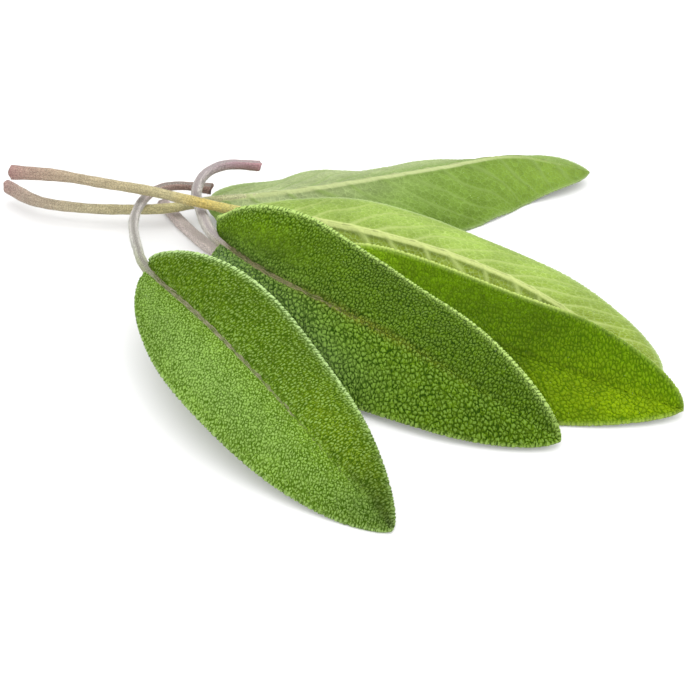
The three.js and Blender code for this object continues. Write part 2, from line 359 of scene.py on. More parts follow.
# --- Node trees ---
class Wiring:
    """A node tree being wired. A socket's feed is another socket or a plain value."""

    def __init__(self, tree: Tree) -> None:
        """Keeps the tree."""
        self.tree = tree

    def feed(self, socket: Socket, value: object) -> None:
        """Links an output to a socket, or sets the socket's own value.

        Args:
            socket: The socket to feed.
            value: An output, a number, a vector, a colour or a material.
        """
        if isinstance(value, bpy.types.NodeSocket):
            self.tree.links.new(value, socket)
        elif socket.type == "RGBA":
            socket.default_value = (*value, 1.0)
        else:
            socket.default_value = value

    def node(self, kind: str, inputs: Mapping[str | int, object] | None = None,
             **settings: object) -> bpy.types.Node:
        """Adds a node.

        Args:
            kind: The node's type.
            inputs: What feeds its sockets, by name or number.
            **settings: The node's own properties.

        Returns:
            The node.
        """
        made = self.tree.nodes.new(kind)
        for key, value in settings.items():
            setattr(made, key, value)
        for key, value in (inputs or {}).items():
            self.feed(made.inputs[key], value)
        return made

    def math(self, operation: str, *values: object, clamp: bool = False) -> Socket:
        """Adds a Math node, which can keep its result between 0 and 1, and returns its output."""
        inputs = dict(enumerate(values))
        return self.node("ShaderNodeMath", inputs, operation=operation, use_clamp=clamp).outputs[0]

    def chain(self, operation: str, values: Sequence[object]) -> Socket:
        """Works through numbers with one operation, from the first on, and returns the result."""
        return functools.reduce(lambda first, second: self.math(operation, first, second), values)

    def times(self, *values: object) -> Socket:
        """Multiplies two or more numbers and returns the product."""
        return self.chain("MULTIPLY", values)

    def plus(self, *values: object) -> Socket:
        """Adds two or more numbers up and returns the sum."""
        return self.chain("ADD", values)

    def less(self, first: object, second: object) -> Socket:
        """Takes the second number from the first and returns what is left."""
        return self.math("SUBTRACT", first, second)

    def vector(self, operation: str, first: object, second: object) -> Socket:
        """Adds a Vector Math node for two vectors and returns its output."""
        return self.node("ShaderNodeVectorMath", {0: first, 1: second}, operation=operation).outputs[0]

    def scaled(self, vector: Socket, scale: object) -> Socket:
        """Multiplies a vector by a number and returns the result."""
        inputs = {0: vector, "Scale": scale}
        return self.node("ShaderNodeVectorMath", inputs, operation="SCALE").outputs[0]

    def thrice(self, value: object) -> Socket:
        """Puts one number in all three places of a vector and returns it."""
        return self.node("ShaderNodeCombineXYZ", {0: value, 1: value, 2: value}).outputs[0]

    def noise(self, place: Socket, scale: object, detail: float, output: str = "Fac") -> Socket:
        """Adds a noise texture and returns a number about 0.5, or three of them as a colour."""
        inputs = {"Vector": place, "Scale": scale, "Detail": detail}
        return self.node("ShaderNodeTexNoise", inputs).outputs[output]

    def ramp(self, value: object, start: float, end: float, low: float = 0.0,
             high: float = 1.0) -> Socket:
        """Adds a smooth step from `low` at `start` to `high` at `end` and returns its output."""
        inputs = {"Value": value, "From Min": start, "From Max": end, "To Min": low, "To Max": high}
        return self.node("ShaderNodeMapRange", inputs, interpolation_type="SMOOTHSTEP").outputs["Result"]

    def waver(self, noise: Socket, spread: float, reach: float = 0.2) -> Socket:
        """Turns a number within `reach` of 0.5 into a factor within `spread` of 1."""
        return self.ramp(noise, 0.5 - reach, 0.5 + reach, 1.0 - spread, 1.0 + spread)

    def mix(self, share: object, first: object, second: object, blend: str = "MIX") -> Socket:
        """Mixes two colours.

        Args:
            share: How much of `second` shows.
            first: The colour below.
            second: The colour on top.
            blend: Blender's name of the blending.

        Returns:
            The mixed colour's socket.
        """
        made = self.node("ShaderNodeMix", data_type="RGBA", blend_type=blend, clamp_factor=True)
        below, above = (socket for socket in made.inputs if socket.type == "RGBA")
        for socket, value in ((made.inputs["Factor"], share), (below, first), (above, second)):
            self.feed(socket, value)
        return next(socket for socket in made.outputs if socket.type == "RGBA")

    def shade(self, colour: object, level: Socket) -> Socket:
        """Multiplies a colour by a number."""
        return self.mix(1.0, colour, self.thrice(level), "MULTIPLY")

    def place(self, name: str) -> Socket:
        """The vector that a piece keeps under this name, in a material."""
        return self.node("ShaderNodeAttribute", attribute_name=name).outputs["Vector"]

    def mask(self, name: str) -> Socket:
        """The number that a piece keeps under this name, in a material."""
        return self.node("ShaderNodeAttribute", attribute_name=name).outputs["Fac"]

    def group(self, tree: Tree, inputs: Mapping[str, object]) -> Mapping[str, Socket]:
        """Puts a shader group in a material, feeds it and returns its outputs."""
        return self.node("ShaderNodeGroup", inputs, node_tree=tree).outputs

    def finish(self, shader: bpy.types.Node, colour: Socket, rough: Socket, height: Socket) -> None:
        """Feeds a shader what changes over the surface.

        Args:
            shader: The Principled shader.
            colour: The surface's colour.
            rough: Its roughness.
            height: Its relief in millimetres.
        """
        bump = self.node("ShaderNodeBump", {"Strength": 1.0, "Distance": MM, "Height": height})
        feeds = {"Base Color": colour, "Roughness": rough, "Normal": bump.outputs["Normal"]}
        for key, value in feeds.items():
            self.feed(shader.inputs[key], value)


def socketed(tree: Tree, inputs: Mapping[str, tuple[str, object]],
             outputs: Mapping[str, str]) -> tuple[Wiring, bpy.types.Node, bpy.types.Node]:
    """Gives a group its named sockets and its two end nodes.

    Args:
        tree: The new tree.
        inputs: Socket type and usual value of each input; None where it has no value.
        outputs: Socket type of each output.

    Returns:
        The wiring, the input node and the output node.
    """
    for name, (kind, value) in inputs.items():
        made = tree.interface.new_socket(name=name, in_out="INPUT", socket_type=kind)
        if value is not None:
            made.default_value = value
    for name, kind in outputs.items():
        tree.interface.new_socket(name=name, in_out="OUTPUT", socket_type=kind)
    wiring = Wiring(tree)
    return wiring, wiring.node("NodeGroupInput"), wiring.node("NodeGroupOutput")


# The net of the finest veins, measured in fields of the net
NET_RANDOMNESS = 0.88
NET_WARP = 0.85  # how far the drift bends the net
DRIFT_SCALE = 0.8
VEIN_REACH = 0.36  # how far from a vein a pad has its full height
PAD_TOP = 1.15  # height of a pad's middle, cut off at 1
PAD_FALL = 1.6  # how fast a pad falls off around its middle

PAD_UNEVENNESS = 0.25
HAIR_SIZES = (0.55, 1.15)  # shortest and longest hair, as a share of the length
HAIR_SIDES = 3


class Net(NamedTuple):
    """The small fields between the finest veins, as sockets of a tree.

    Attributes:
        dome: A round pad in each field, from 0 on the veins to 1.
        chance: A random number for each field.
    """

    dome: Socket
    chance: Socket


def net_nodes(wiring: Wiring, place: Socket, pitch: object) -> Net:
    """Splits a surface into the fields of the net, in either kind of tree.

    Args:
        wiring: The tree to add to.
        place: Millimetres on the surface.
        pitch: Millimetres from field to field.

    Returns:
        The net.
    """
    even = wiring.scaled(place, wiring.math("DIVIDE", 1.0, pitch))
    drift = wiring.noise(even, DRIFT_SCALE, 1.0, "Color")
    shift = wiring.scaled(wiring.vector("SUBTRACT", drift, (0.5, 0.5, 0.5)), NET_WARP)
    inputs = {"Vector": wiring.vector("ADD", even, shift), "Scale": 1.0, "Randomness": NET_RANDOMNESS}
    veins, fields = (
        wiring.node("ShaderNodeTexVoronoi", inputs, voronoi_dimensions="2D", feature=feature)
        for feature in ("DISTANCE_TO_EDGE", "F1")
    )
    edge, off = veins.outputs["Distance"], fields.outputs["Distance"]
    hollow = wiring.less(1.0, wiring.math("DIVIDE", edge, VEIN_REACH, clamp=True))
    plateau = wiring.less(1.0, wiring.times(hollow, hollow))
    round_off = wiring.less(PAD_TOP, wiring.times(off, off, PAD_FALL))
    dome = wiring.math("MULTIPLY", plateau, round_off, clamp=True)
    chance = wiring.node("ShaderNodeSeparateXYZ", {0: fields.outputs["Color"]}).outputs[0]
    return Net(dome, chance)


def relief_tree() -> Tree:
    """The relief of a blade: a pad in every field of the net, and the lift kept at each point.

    Returns:
        A geometry node tree for a Nodes modifier.
    """
    tree = bpy.data.node_groups.new("leaf relief", "GeometryNodeTree")
    inputs = {
        "Geometry": ("NodeSocketGeometry", None),
        "Pitch": ("NodeSocketFloat", 0.8),
        "Pad Height": ("NodeSocketFloat", 0.13),
        "Sky Material": ("NodeSocketMaterial", None),
        "Floor Material": ("NodeSocketMaterial", None),
    }
    wiring, start, end = socketed(tree, inputs, {"Geometry": "NodeSocketGeometry"})
    given = start.outputs

    def kept(name: str, kind: str = "FLOAT") -> Socket:
        """A value that the mesh keeps at its points."""
        made = wiring.node("GeometryNodeInputNamedAttribute", {"Name": name}, data_type=kind)
        return made.outputs["Attribute"]

    net = net_nodes(wiring, kept("cells", "FLOAT_VECTOR"), given["Pitch"])
    height = wiring.times(given["Pad Height"], wiring.waver(net.chance, PAD_UNEVENNESS, reach=0.5))
    pad = wiring.times(net.dome, height, kept("pads"))
    lift = wiring.times(wiring.plus(pad, kept("lift")), MM)
    normal = wiring.node("GeometryNodeInputNormal").outputs["Normal"]
    inputs = {"Geometry": given["Geometry"], "Offset": wiring.scaled(normal, lift)}
    shown = wiring.node("GeometryNodeSetPosition", inputs).outputs["Geometry"]
    for material, sign in (("Sky Material", 1.0), ("Floor Material", -1.0)):
        facing = wiring.times(kept("skyward"), sign)
        chosen = wiring.node("FunctionNodeCompare", {0: facing}, operation="GREATER_THAN")
        inputs = {"Geometry": shown, "Selection": chosen.outputs[0], "Material": given[material]}
        shown = wiring.node("GeometryNodeSetMaterial", inputs).outputs["Geometry"]
    real = wiring.node("GeometryNodeRealizeInstances", {"Geometry": shown})
    wiring.feed(end.inputs["Geometry"], real.outputs["Geometry"])
    return tree


def down_tree() -> Tree:
    """Fine hairs on a surface, each a slim cone that leans its own way.

    Returns:
        A geometry node tree for a Nodes modifier.
    """
    tree = bpy.data.node_groups.new("leaf down", "GeometryNodeTree")
    inputs = {
        "Geometry": ("NodeSocketGeometry", None),
        "Hairs per mm2": ("NodeSocketFloat", 8.0),
        "Length": ("NodeSocketFloat", 0.3),
        "Thickness": ("NodeSocketFloat", 0.02),
        "Lean": ("NodeSocketFloat", 0.6),
        "Seed": ("NodeSocketInt", 1),
        "Material": ("NodeSocketMaterial", None),
    }
    wiring, start, end = socketed(tree, inputs, {"Geometry": "NodeSocketGeometry"})
    given = start.outputs
    seed = given["Seed"]
    downy = wiring.node("GeometryNodeInputNamedAttribute", {"Name": "downy"}, data_type="FLOAT")
    density = wiring.times(given["Hairs per mm2"], 1 / MM**2, downy.outputs["Attribute"])
    spread = wiring.node("GeometryNodeDistributePointsOnFaces",
                         {"Mesh": given["Geometry"], "Density": density, "Seed": seed})
    leans = [wiring.thrice(lean) for lean in (wiring.times(given["Lean"], -1.0), given["Lean"])]
    lean = wiring.node("FunctionNodeRandomValue", {0: leans[0], 1: leans[1], "Seed": seed},
                       data_type="FLOAT_VECTOR")
    aim = wiring.vector("ADD", spread.outputs["Normal"], lean.outputs[0])
    turn = wiring.node("FunctionNodeAlignRotationToVector", {"Vector": aim}, axis="Z")
    hair = wiring.node("GeometryNodeMeshCone", {
        "Vertices": HAIR_SIDES, "Side Segments": 1, "Fill Segments": 1, "Radius Top": 0.0,
        "Radius Bottom": wiring.times(given["Thickness"], MM / 2),
        "Depth": wiring.times(given["Length"], MM),
    })
    size = wiring.node("FunctionNodeRandomValue", {2: HAIR_SIZES[0], 3: HAIR_SIZES[1], "Seed": seed},
                       data_type="FLOAT")
    placed = wiring.node("GeometryNodeInstanceOnPoints", {
        "Points": spread.outputs["Points"], "Instance": hair.outputs["Mesh"],
        "Rotation": turn.outputs["Rotation"], "Scale": size.outputs[1],
    })
    real = wiring.node("GeometryNodeRealizeInstances", {"Geometry": placed.outputs["Instances"]})
    dressed = wiring.node("GeometryNodeSetMaterial",
                          {"Geometry": real.outputs["Geometry"], "Material": given["Material"]})
    wiring.feed(end.inputs["Geometry"], dressed.outputs["Geometry"])
    return tree


def applied(piece: Piece, tree: Tree, values: Mapping[str, object],
            name: str) -> bpy.types.Mesh:
    """Runs a tree on a piece and takes the result as a plain mesh.

    Args:
        piece: The piece, which is left with no modifier.
        tree: The geometry node tree.
        values: The modifier's inputs by name.
        name: Name of the new mesh.

    Returns:
        The mesh.
    """
    modifier = piece.modifiers.new("nodes", "NODES")
    modifier.node_group = tree
    for socket in tree.interface.items_tree:
        if socket.item_type == "SOCKET" and socket.in_out == "INPUT" and socket.name in values:
            modifier[socket.identifier] = values[socket.name]
    graph = bpy.context.evaluated_depsgraph_get()
    made = bpy.data.meshes.new_from_object(
        piece.evaluated_get(graph), preserve_all_data_layers=True, depsgraph=graph
    )
    piece.modifiers.remove(modifier)
    made.name = name
    return made


# --- Finishes ---
SPECK_SCALE = (4.6, 2.4, 1.0)  # tufts of down per millimetre across and along the pads
CALM_RELIEF = 0.66  # relief of a place that is neither crest nor valley
HAZE_NET = 1.18  # how much paler the net is than the haze on it
FOLD_PITCH = 2.6  # the wider net of an underside, as a share of the finest one's pitch


def net_group() -> Tree:
    """The net of the finest veins, for both sides of a leaf.

    Returns:
        A shader group that puts out the dome of each pad and a random tint.
    """
    tree = bpy.data.node_groups.new("leaf net", "ShaderNodeTree")
    inputs = {"Place": ("NodeSocketVector", None), "Pitch": ("NodeSocketFloat", 0.8)}
    outputs = {name: "NodeSocketFloat" for name in ("Dome", "Tint")}
    wiring, start, end = socketed(tree, inputs, outputs)
    net = net_nodes(wiring, start.outputs["Place"], start.outputs["Pitch"])
    wiring.feed(end.inputs["Dome"], net.dome)
    wiring.feed(end.inputs["Tint"], net.chance)
    return tree


def mottle_group() -> Tree:
    """Soft cloudy patches and a fine grain, for every finish.

    Returns:
        A shader group that puts out both as numbers about 0.5.
    """
    tree = bpy.data.node_groups.new("mottle", "ShaderNodeTree")
    inputs = {"Cloud Size": ("NodeSocketFloat", 8.0), "Grain Size": ("NodeSocketFloat", 0.12)}
    outputs = {name: "NodeSocketFloat" for name in ("Cloud", "Grain")}
    wiring, start, end = socketed(tree, inputs, outputs)
    place = wiring.node("ShaderNodeTexCoord").outputs["Object"]
    for output, detail in (("Cloud", 2.0), ("Grain", 3.0)):
        scale = wiring.math("DIVIDE", 1 / MM, start.outputs[f"{output} Size"])
        wiring.feed(end.inputs[output], wiring.noise(place, scale, detail))
    return tree


@dataclass(frozen=True)
class Groups:
    """The shader groups that the finishes share."""

    net: Tree
    mottle: Tree


class Dressing(NamedTuple):
    """A material being made, with its node tree and its Principled shader."""

    material: bpy.types.Material
    wiring: Wiring
    shader: bpy.types.Node


def blank_material(name: str, constants: Mapping[str, object]) -> Dressing:
    """Starts a material.

    Args:
        name: Its name.
        constants: Values of the shader's sockets that are the same all over.

    Returns:
        The material, its wiring and its Principled shader.
    """
    material = bpy.data.materials.new(name)
    material.use_nodes = True
    wiring = Wiring(material.node_tree)
    shader = material.node_tree.nodes["Principled BSDF"]
    for key, value in constants.items():
        wiring.feed(shader.inputs[key], value)
    return Dressing(material, wiring, shader)


class Pebbles(NamedTuple):
    """The pebbled surface of an upper side, as sockets of its material.

    Attributes:
        dome: From 0 between the pads to 1 on them and on the beads of the margin.
        relief: The dome, torn by the down, and evened out where the leaf is marked as calm.
        specks: The tufts of down, about 0.5.
        net: Outputs of the net.
        mottle: Outputs of the wide mottling.
        patchy: Outputs of the close mottling.
    """

    dome: Socket
    relief: Socket
    specks: Socket
    net: Mapping[str, Socket]
    mottle: Mapping[str, Socket]
    patchy: Mapping[str, Socket]


@dataclass(frozen=True)
class UpperSkin:
    """The pebbled upper side of a blade. Colours are linear.

    Attributes:
        name: Name of the material.
        valley: Between the pads, a deeper green darkened further as painted shade in the hollows.
        pad: On the pads.
        crest: On top of the pads, a painted highlight that also shows the paler down there.
        bloom: On the pads where the leaf is marked so: a paler, bluer green that is partly the leaf's
            own pale coat and partly painted sheen.
        warm: On the pads where the leaf is marked as warm; near the right leaf's tip this yellow-green
            is painted light shining through the blade.
        margin: On the beads of the margin.
        rib: On the midrib at its base.
        rib_streak: In the streaks along the midrib.
        pitch: Millimetres from pad to pad.
        contrast: How much darker the valleys are, from 0 to 1.
        speck: How much the fine down breaks up the pads.
        soft: Power that rounds the pads off.
        gaps: How clearly the pale margin is broken between its beads.
    """

    name: str
    valley: Colour
    pad: Colour
    crest: Colour
    bloom: Colour
    warm: Colour
    margin: Colour = (0.4, 0.56, 0.22)
    rib: Colour = (0.27, 0.235, 0.145)
    rib_streak: Colour = (0.12, 0.135, 0.08)
    pitch: float = 0.66
    contrast: float = 0.8
    speck: float = 0.5
    soft: float = 1.0
    gaps: float = 0.8

    def pebbles(self, wiring: Wiring, groups: Groups) -> Pebbles:
        """Wires the surface that the colours follow.

        Args:
            wiring: The material's wiring.
            groups: The shared shader groups.

        Returns:
            The surface.
        """
        cells = wiring.place("cells")
        net = wiring.group(groups.net, {"Place": cells, "Pitch": self.pitch})
        mottle = wiring.group(groups.mottle, {"Cloud Size": 9.0, "Grain Size": 0.22})
        patchy = wiring.group(groups.mottle, {"Cloud Size": 1.6, "Grain Size": 1.0})
        specks = wiring.noise(wiring.vector("MULTIPLY", cells, SPECK_SCALE), 1.0, 2.0)
        pads = wiring.math("POWER", wiring.times(net["Dome"], wiring.mask("pads")), self.soft)
        dome = wiring.math("MAXIMUM", pads, wiring.mask("bead"))
        torn = wiring.times(wiring.less(specks, 0.5), 4.0 * self.speck)
        lively = wiring.ramp(wiring.mask("calm"), 0.0, 1.0, low=1.0, high=0.3)
        uneven = wiring.times(wiring.less(wiring.plus(dome, torn), CALM_RELIEF), lively)
        return Pebbles(dome, wiring.plus(uneven, CALM_RELIEF), specks, net, mottle, patchy)

    def flesh(self, wiring: Wiring, pebbles: Pebbles, tone: Socket) -> Socket:
        """Colours the valleys, the side veins and the pads from their sides to their tops, with painted
        shade in the valleys and a painted highlight on the pads.

        Args:
            wiring: The material's wiring.
            pebbles: The surface.
            tone: How light the leaf is painted; below 1 it is painted shade.

        Returns:
            The colour, shaded by the painted light and shade of the tone.
        """
        colour = wiring.mix(wiring.mask("warm"), self.pad, self.warm)
        # Partly painted sheen: a paler, bluer green where the leaf is marked.
        colour = wiring.mix(wiring.mask("bloom"), colour, self.bloom)
        cloud = wiring.waver(pebbles.mottle["Cloud"], 0.16)
        tint = wiring.waver(pebbles.net["Tint"], 0.2, reach=0.5)
        # Painted glints together with the speckle of the down.
        glint = wiring.ramp(pebbles.mottle["Grain"], 0.35, 0.68, low=0.78, high=1.35)
        colour = wiring.shade(colour, wiring.times(cloud, tint, glint))
        # Painted highlight on the tops of the pads, weaker where the leaf is painted darker.
        crest = wiring.times(wiring.ramp(pebbles.relief, 0.65, 1.25, high=0.9),
                             wiring.ramp(tone, 0.55, 0.95, low=0.75))
        colour = wiring.mix(crest, colour, self.crest)
        # Painted shade in the hollows between the pads, deeper where the leaf is painted darker.
        deep = wiring.ramp(pebbles.relief, 0.0, 0.68, low=self.contrast, high=0.0)
        sunk = wiring.times(wiring.ramp(pebbles.patchy["Cloud"], 0.35, 0.65, low=0.78, high=1.12),
                            wiring.ramp(tone, 0.5, 1.2, low=1.15, high=0.95))
        colour = wiring.mix(wiring.math("MULTIPLY", deep, sunk, clamp=True), colour, self.valley)
        # The sunk side veins take some of the valley's colour, with its painted shade.
        colour = wiring.mix(wiring.times(wiring.mask("vein"), 0.3), colour, self.valley)
        return wiring.shade(colour, tone)

    def ribbed(self, wiring: Wiring, pebbles: Pebbles, colour: Socket) -> Socket:
        """Lays the streaky midrib over a colour.

        Args:
            wiring: The material's wiring.
            pebbles: The surface.
            colour: The colour beside it.

        Returns:
            The colour with the midrib.
        """
        rib, streaks = wiring.mask("rib"), wiring.noise(wiring.place("strokes"), 1.0, 3.0)
        torn = wiring.plus(wiring.times(pebbles.net["Dome"], 0.3), wiring.times(streaks, 2.4))
        shown = wiring.ramp(wiring.less(rib, torn), -1.15, -0.5, high=0.85)
        skin = wiring.mix(wiring.ramp(streaks, 0.4, 0.62), self.rib, self.rib_streak)
        skin = wiring.shade(skin, wiring.waver(pebbles.mottle["Grain"], 0.25))
        return wiring.mix(wiring.times(shown, wiring.ramp(rib, 0.0, 0.12)), colour, skin)

    def material(self, groups: Groups) -> bpy.types.Material:
        """Makes the material.

        Args:
            groups: The shared shader groups.

        Returns:
            The material.
        """
        material, wiring, shader = blank_material(self.name, {"Specular IOR Level": 0.03})
        pebbles, tone = self.pebbles(wiring, groups), wiring.mask("tone")
        colour = self.flesh(wiring, pebbles, tone)
        beaded = wiring.ramp(pebbles.relief, 0.2, 0.85, low=1.0 - self.gaps)
        colour = wiring.mix(wiring.times(wiring.mask("pale"), beaded), colour, self.margin)
        colour = self.ribbed(wiring, pebbles, colour)
        height = wiring.plus(wiring.times(pebbles.dome, 0.06 * self.pitch),
                             wiring.times(pebbles.specks, 0.05))
        wiring.finish(shader, colour, wiring.ramp(pebbles.dome, 0.2, 1.0, low=0.7, high=0.44), height)
        return material


@dataclass(frozen=True)
class UnderSkin:
    """The pale, netted underside of a blade. Colours are linear.

    Attributes:
        name: Name of the material.
        field: Between the finest veins.
        net: On the finest veins.
        vein: On the side veins.
        shaded: Where the leaf is marked as warm.
        haze: Where the leaf is marked with bloom.
        margin: On the margin.
        rib: Beside the midrib.
        pitch: Millimetres from vein to vein in the finest net.
        folds: How clearly the wider net shows.
        lines: How clearly the finest net shows.
    """

    name: str
    field: Colour
    net: Colour
    vein: Colour
    shaded: Colour
    haze: Colour = (0.27, 0.34, 0.13)
    margin: Colour = (0.4, 0.5, 0.25)
    rib: Colour = (0.44, 0.49, 0.19)
    pitch: float = 0.8
    folds: float = 0.25
    lines: float = 0.85

    def netted(self, wiring: Wiring, groups: Groups) -> tuple[Socket, Socket]:
        """Wires the two nets of veins, one wider than the other.

        Args:
            wiring: The material's wiring.
            groups: The shared shader groups.

        Returns:
            From 0 to 1 on the veins of both, and a random number for each field of the finer one.
        """
        place = wiring.place("cells")
        fine, wide = (
            wiring.group(groups.net, {"Place": place, "Pitch": pitch})
            for pitch in (self.pitch, self.pitch * FOLD_PITCH)
        )
        thin, thick = (
            wiring.times(wiring.ramp(net["Dome"], 0.0, 0.5, low=1.0, high=0.0), strength)
            for net, strength in ((fine, self.lines), (wide, self.folds))
        )
        return wiring.math("MAXIMUM", thin, thick), fine["Tint"]

    def material(self, groups: Groups) -> bpy.types.Material:
        """Makes the material.

        Args:
            groups: The shared shader groups.

        Returns:
            The material.
        """
        constants = {"Sheen Weight": 0.03, "Sheen Roughness": 0.5, "Specular IOR Level": 0.08}
        material, wiring, shader = blank_material(self.name, constants)
        mottle = wiring.group(groups.mottle, {"Cloud Size": 11.0, "Grain Size": 0.2})
        lines, tint = self.netted(wiring, groups)
        bloom, grain = wiring.mask("bloom"), mottle["Grain"]
        body = wiring.mix(wiring.mask("warm"), self.field, self.shaded)
        body = wiring.mix(bloom, body, self.haze)
        pale_net = tuple(HAZE_NET * level for level in self.haze)
        colour = wiring.mix(lines, body, wiring.mix(bloom, self.net, pale_net))
        cloud = wiring.waver(mottle["Cloud"], 0.12)
        uneven = wiring.times(wiring.waver(grain, 0.1), wiring.waver(tint, 0.07, reach=0.5))
        # The tone paints light and shade over the underside.
        colour = wiring.shade(colour, wiring.times(cloud, uneven, wiring.mask("tone")))
        for mask, laid_over in (("vein", self.vein), ("rib", self.rib), ("pale", self.margin)):
            colour = wiring.mix(wiring.mask(mask), colour, laid_over)
        height = wiring.plus(wiring.times(lines, 0.035), wiring.times(grain, 0.05))
        wiring.finish(shader, colour, wiring.ramp(grain, 0.3, 0.7, low=0.55, high=0.75), height)
        return material


@dataclass(frozen=True)
class StalkSkin:
    """The downy skin of a stalk and its midrib. Colours are linear.

    Attributes:
        name: Name of the material.
        bands: Colours by share of the whole length, from the cut end to the tip.
        groove: In the groove.
        pith: On the cut end.
    """

    name: str
    bands: tuple[tuple[float, Colour], ...]
    groove: Colour
    pith: Colour

    def banded(self, wiring: Wiring) -> Socket:
        """Wires the colours along the stalk.

        Args:
            wiring: The material's wiring.

        Returns:
            The colour.
        """
        bands = wiring.node("ShaderNodeValToRGB", {"Fac": wiring.mask("reach")})
        stops = bands.color_ramp.elements
        while len(stops) < len(self.bands):
            stops.new(0.5)
        for stop, (share, colour) in zip(stops, self.bands):
            stop.position = share
            stop.color = (*colour, 1.0)
        return bands.outputs["Color"]

    def material(self, groups: Groups) -> bpy.types.Material:
        """Makes the material.

        Args:
            groups: The shared shader groups.

        Returns:
            The material.
        """
        constants = {"Sheen Weight": 0.08, "Sheen Roughness": 0.4, "Specular IOR Level": 0.06}
        material, wiring, shader = blank_material(self.name, constants)
        grain = wiring.group(groups.mottle, {"Cloud Size": 3.0, "Grain Size": 0.22})["Grain"]
        streaks = wiring.noise(wiring.place("skin"), 1.0, 3.0)
        level = wiring.times(wiring.ramp(streaks, 0.3, 0.7, low=0.85, high=1.12),
                             wiring.waver(grain, 0.26, reach=0.15))
        colour = wiring.shade(self.banded(wiring), level)
        colour = wiring.mix(wiring.times(wiring.mask("groove"), 0.8), colour, self.groove)
        colour = wiring.mix(wiring.mask("cut"), colour, self.pith)
        height = wiring.plus(wiring.times(streaks, 0.05), wiring.times(grain, 0.12))
        wiring.finish(shader, colour, wiring.ramp(grain, 0.3, 0.7, low=0.55, high=0.8), height)
        return material


@dataclass(frozen=True)
class DownSkin:
    """The fine pale hairs.

    Attributes:
        name: Name of the material.
        colour: Their colour, linear.
    """

    name: str
    colour: Colour

    def material(self, groups: Groups) -> bpy.types.Material:
        """Makes the material.

        Args:
            groups: The shared shader groups.

        Returns:
            The material.
        """
        constants = {"Specular IOR Level": 0.4, "Sheen Weight": 0.3}
        material, wiring, shader = blank_material(self.name, constants)
        mottle = wiring.group(groups.mottle, {"Cloud Size": 2.0, "Grain Size": 0.1})
        grain = mottle["Grain"]
        colour = wiring.shade(self.colour, wiring.ramp(mottle["Cloud"], 0.3, 0.7, low=0.85, high=1.1))
        wiring.finish(shader, colour, wiring.ramp(grain, 0.3, 0.7, low=0.4, high=0.6), grain)
        return material


# --- Blade ---
BASE_WIDTH_START = 0.004  # starts the outline a little behind the base, where it has some width
LOBE_LENGTH = 0.05  # share of the blade in which the lobes beside the stalk die out
LOBE_BULGE = 0.6  # how full the base of the blade is beside the stalk
EDGE_ROUND = 0.09  # how far the rounded rim stands out
RIM_THINNING = 0.35  # how much thinner the blade is at its margin

# Side veins and the finer ones halfway between them
VEIN_ANGLE = math.radians(48.0)  # from the midrib
VEIN_BEND = 0.028  # how fast they turn to the tip on their way out
VEIN_DRIFTS = (Drift(0.5, 0.7), Drift(0.16, 1.4))  # along the midrib and out from it
VEIN_THICKNESS = {Side.UPPER: 0.2, Side.UNDER: 0.46}
TWIG_THICKNESS = 0.18
TWIG_STRENGTH = 0.2
QUILT = {Side.UPPER: 0.07, Side.UNDER: 0.12}  # how far the blade swells between two side veins
OTHER_HALF = 2.1  # shift that makes the far half's veins differ from the near half's

# Teeth and beads of the margin
TOOTH = 0.2  # how far the teeth stand out
BEAD_PITCH = 0.68
BEAD_DRIFTS = (Drift(0.35, 0.9), Drift(0.2, 2.1))
FAR_BEAD_START = 0.3

# Relief of an upper side, above and below the pads
BEAD_LIFT = 0.2
RIDGE_LIFT = 0.1
RIB_SINK = 0.12
FOLD_SINK = 0.07
VEIN_SINK = 0.08

# Relief of an underside
HOLLOW = 0.3  # depth of the fields between the veins, as a share of an upper side's pads
VEIN_LIFT = 0.13
VEIN_LIFT_LOSS = 0.05  # how much of that is lost on the way to the margin
UNDER_BEAD_LIFT = 0.06
FILLET_WIDTH = 0.8  # the swelling that carries the midrib
FILLET_LIFT = 0.3

# Painted shade in the crease beside the midrib
CREASE_OUT = 0.85
CREASE_WIDTH = 0.35

# Keeps the nets of leaves, halves and faces from repeating each other
HAND_SHIFT = 40
FACE_SHIFT = 500

# The blade on the bake map: the sky side's box, the floor side's below it and the rim around
MAP_START = 0.02
MAP_SIZE = (0.96, 0.22)
MAP_MIDDLE = np.array([0.5, 0.75])
MAP_TO_FLOOR = np.array([0.0, 0.5])
MAP_RIM = np.array([0.99, 1.04])


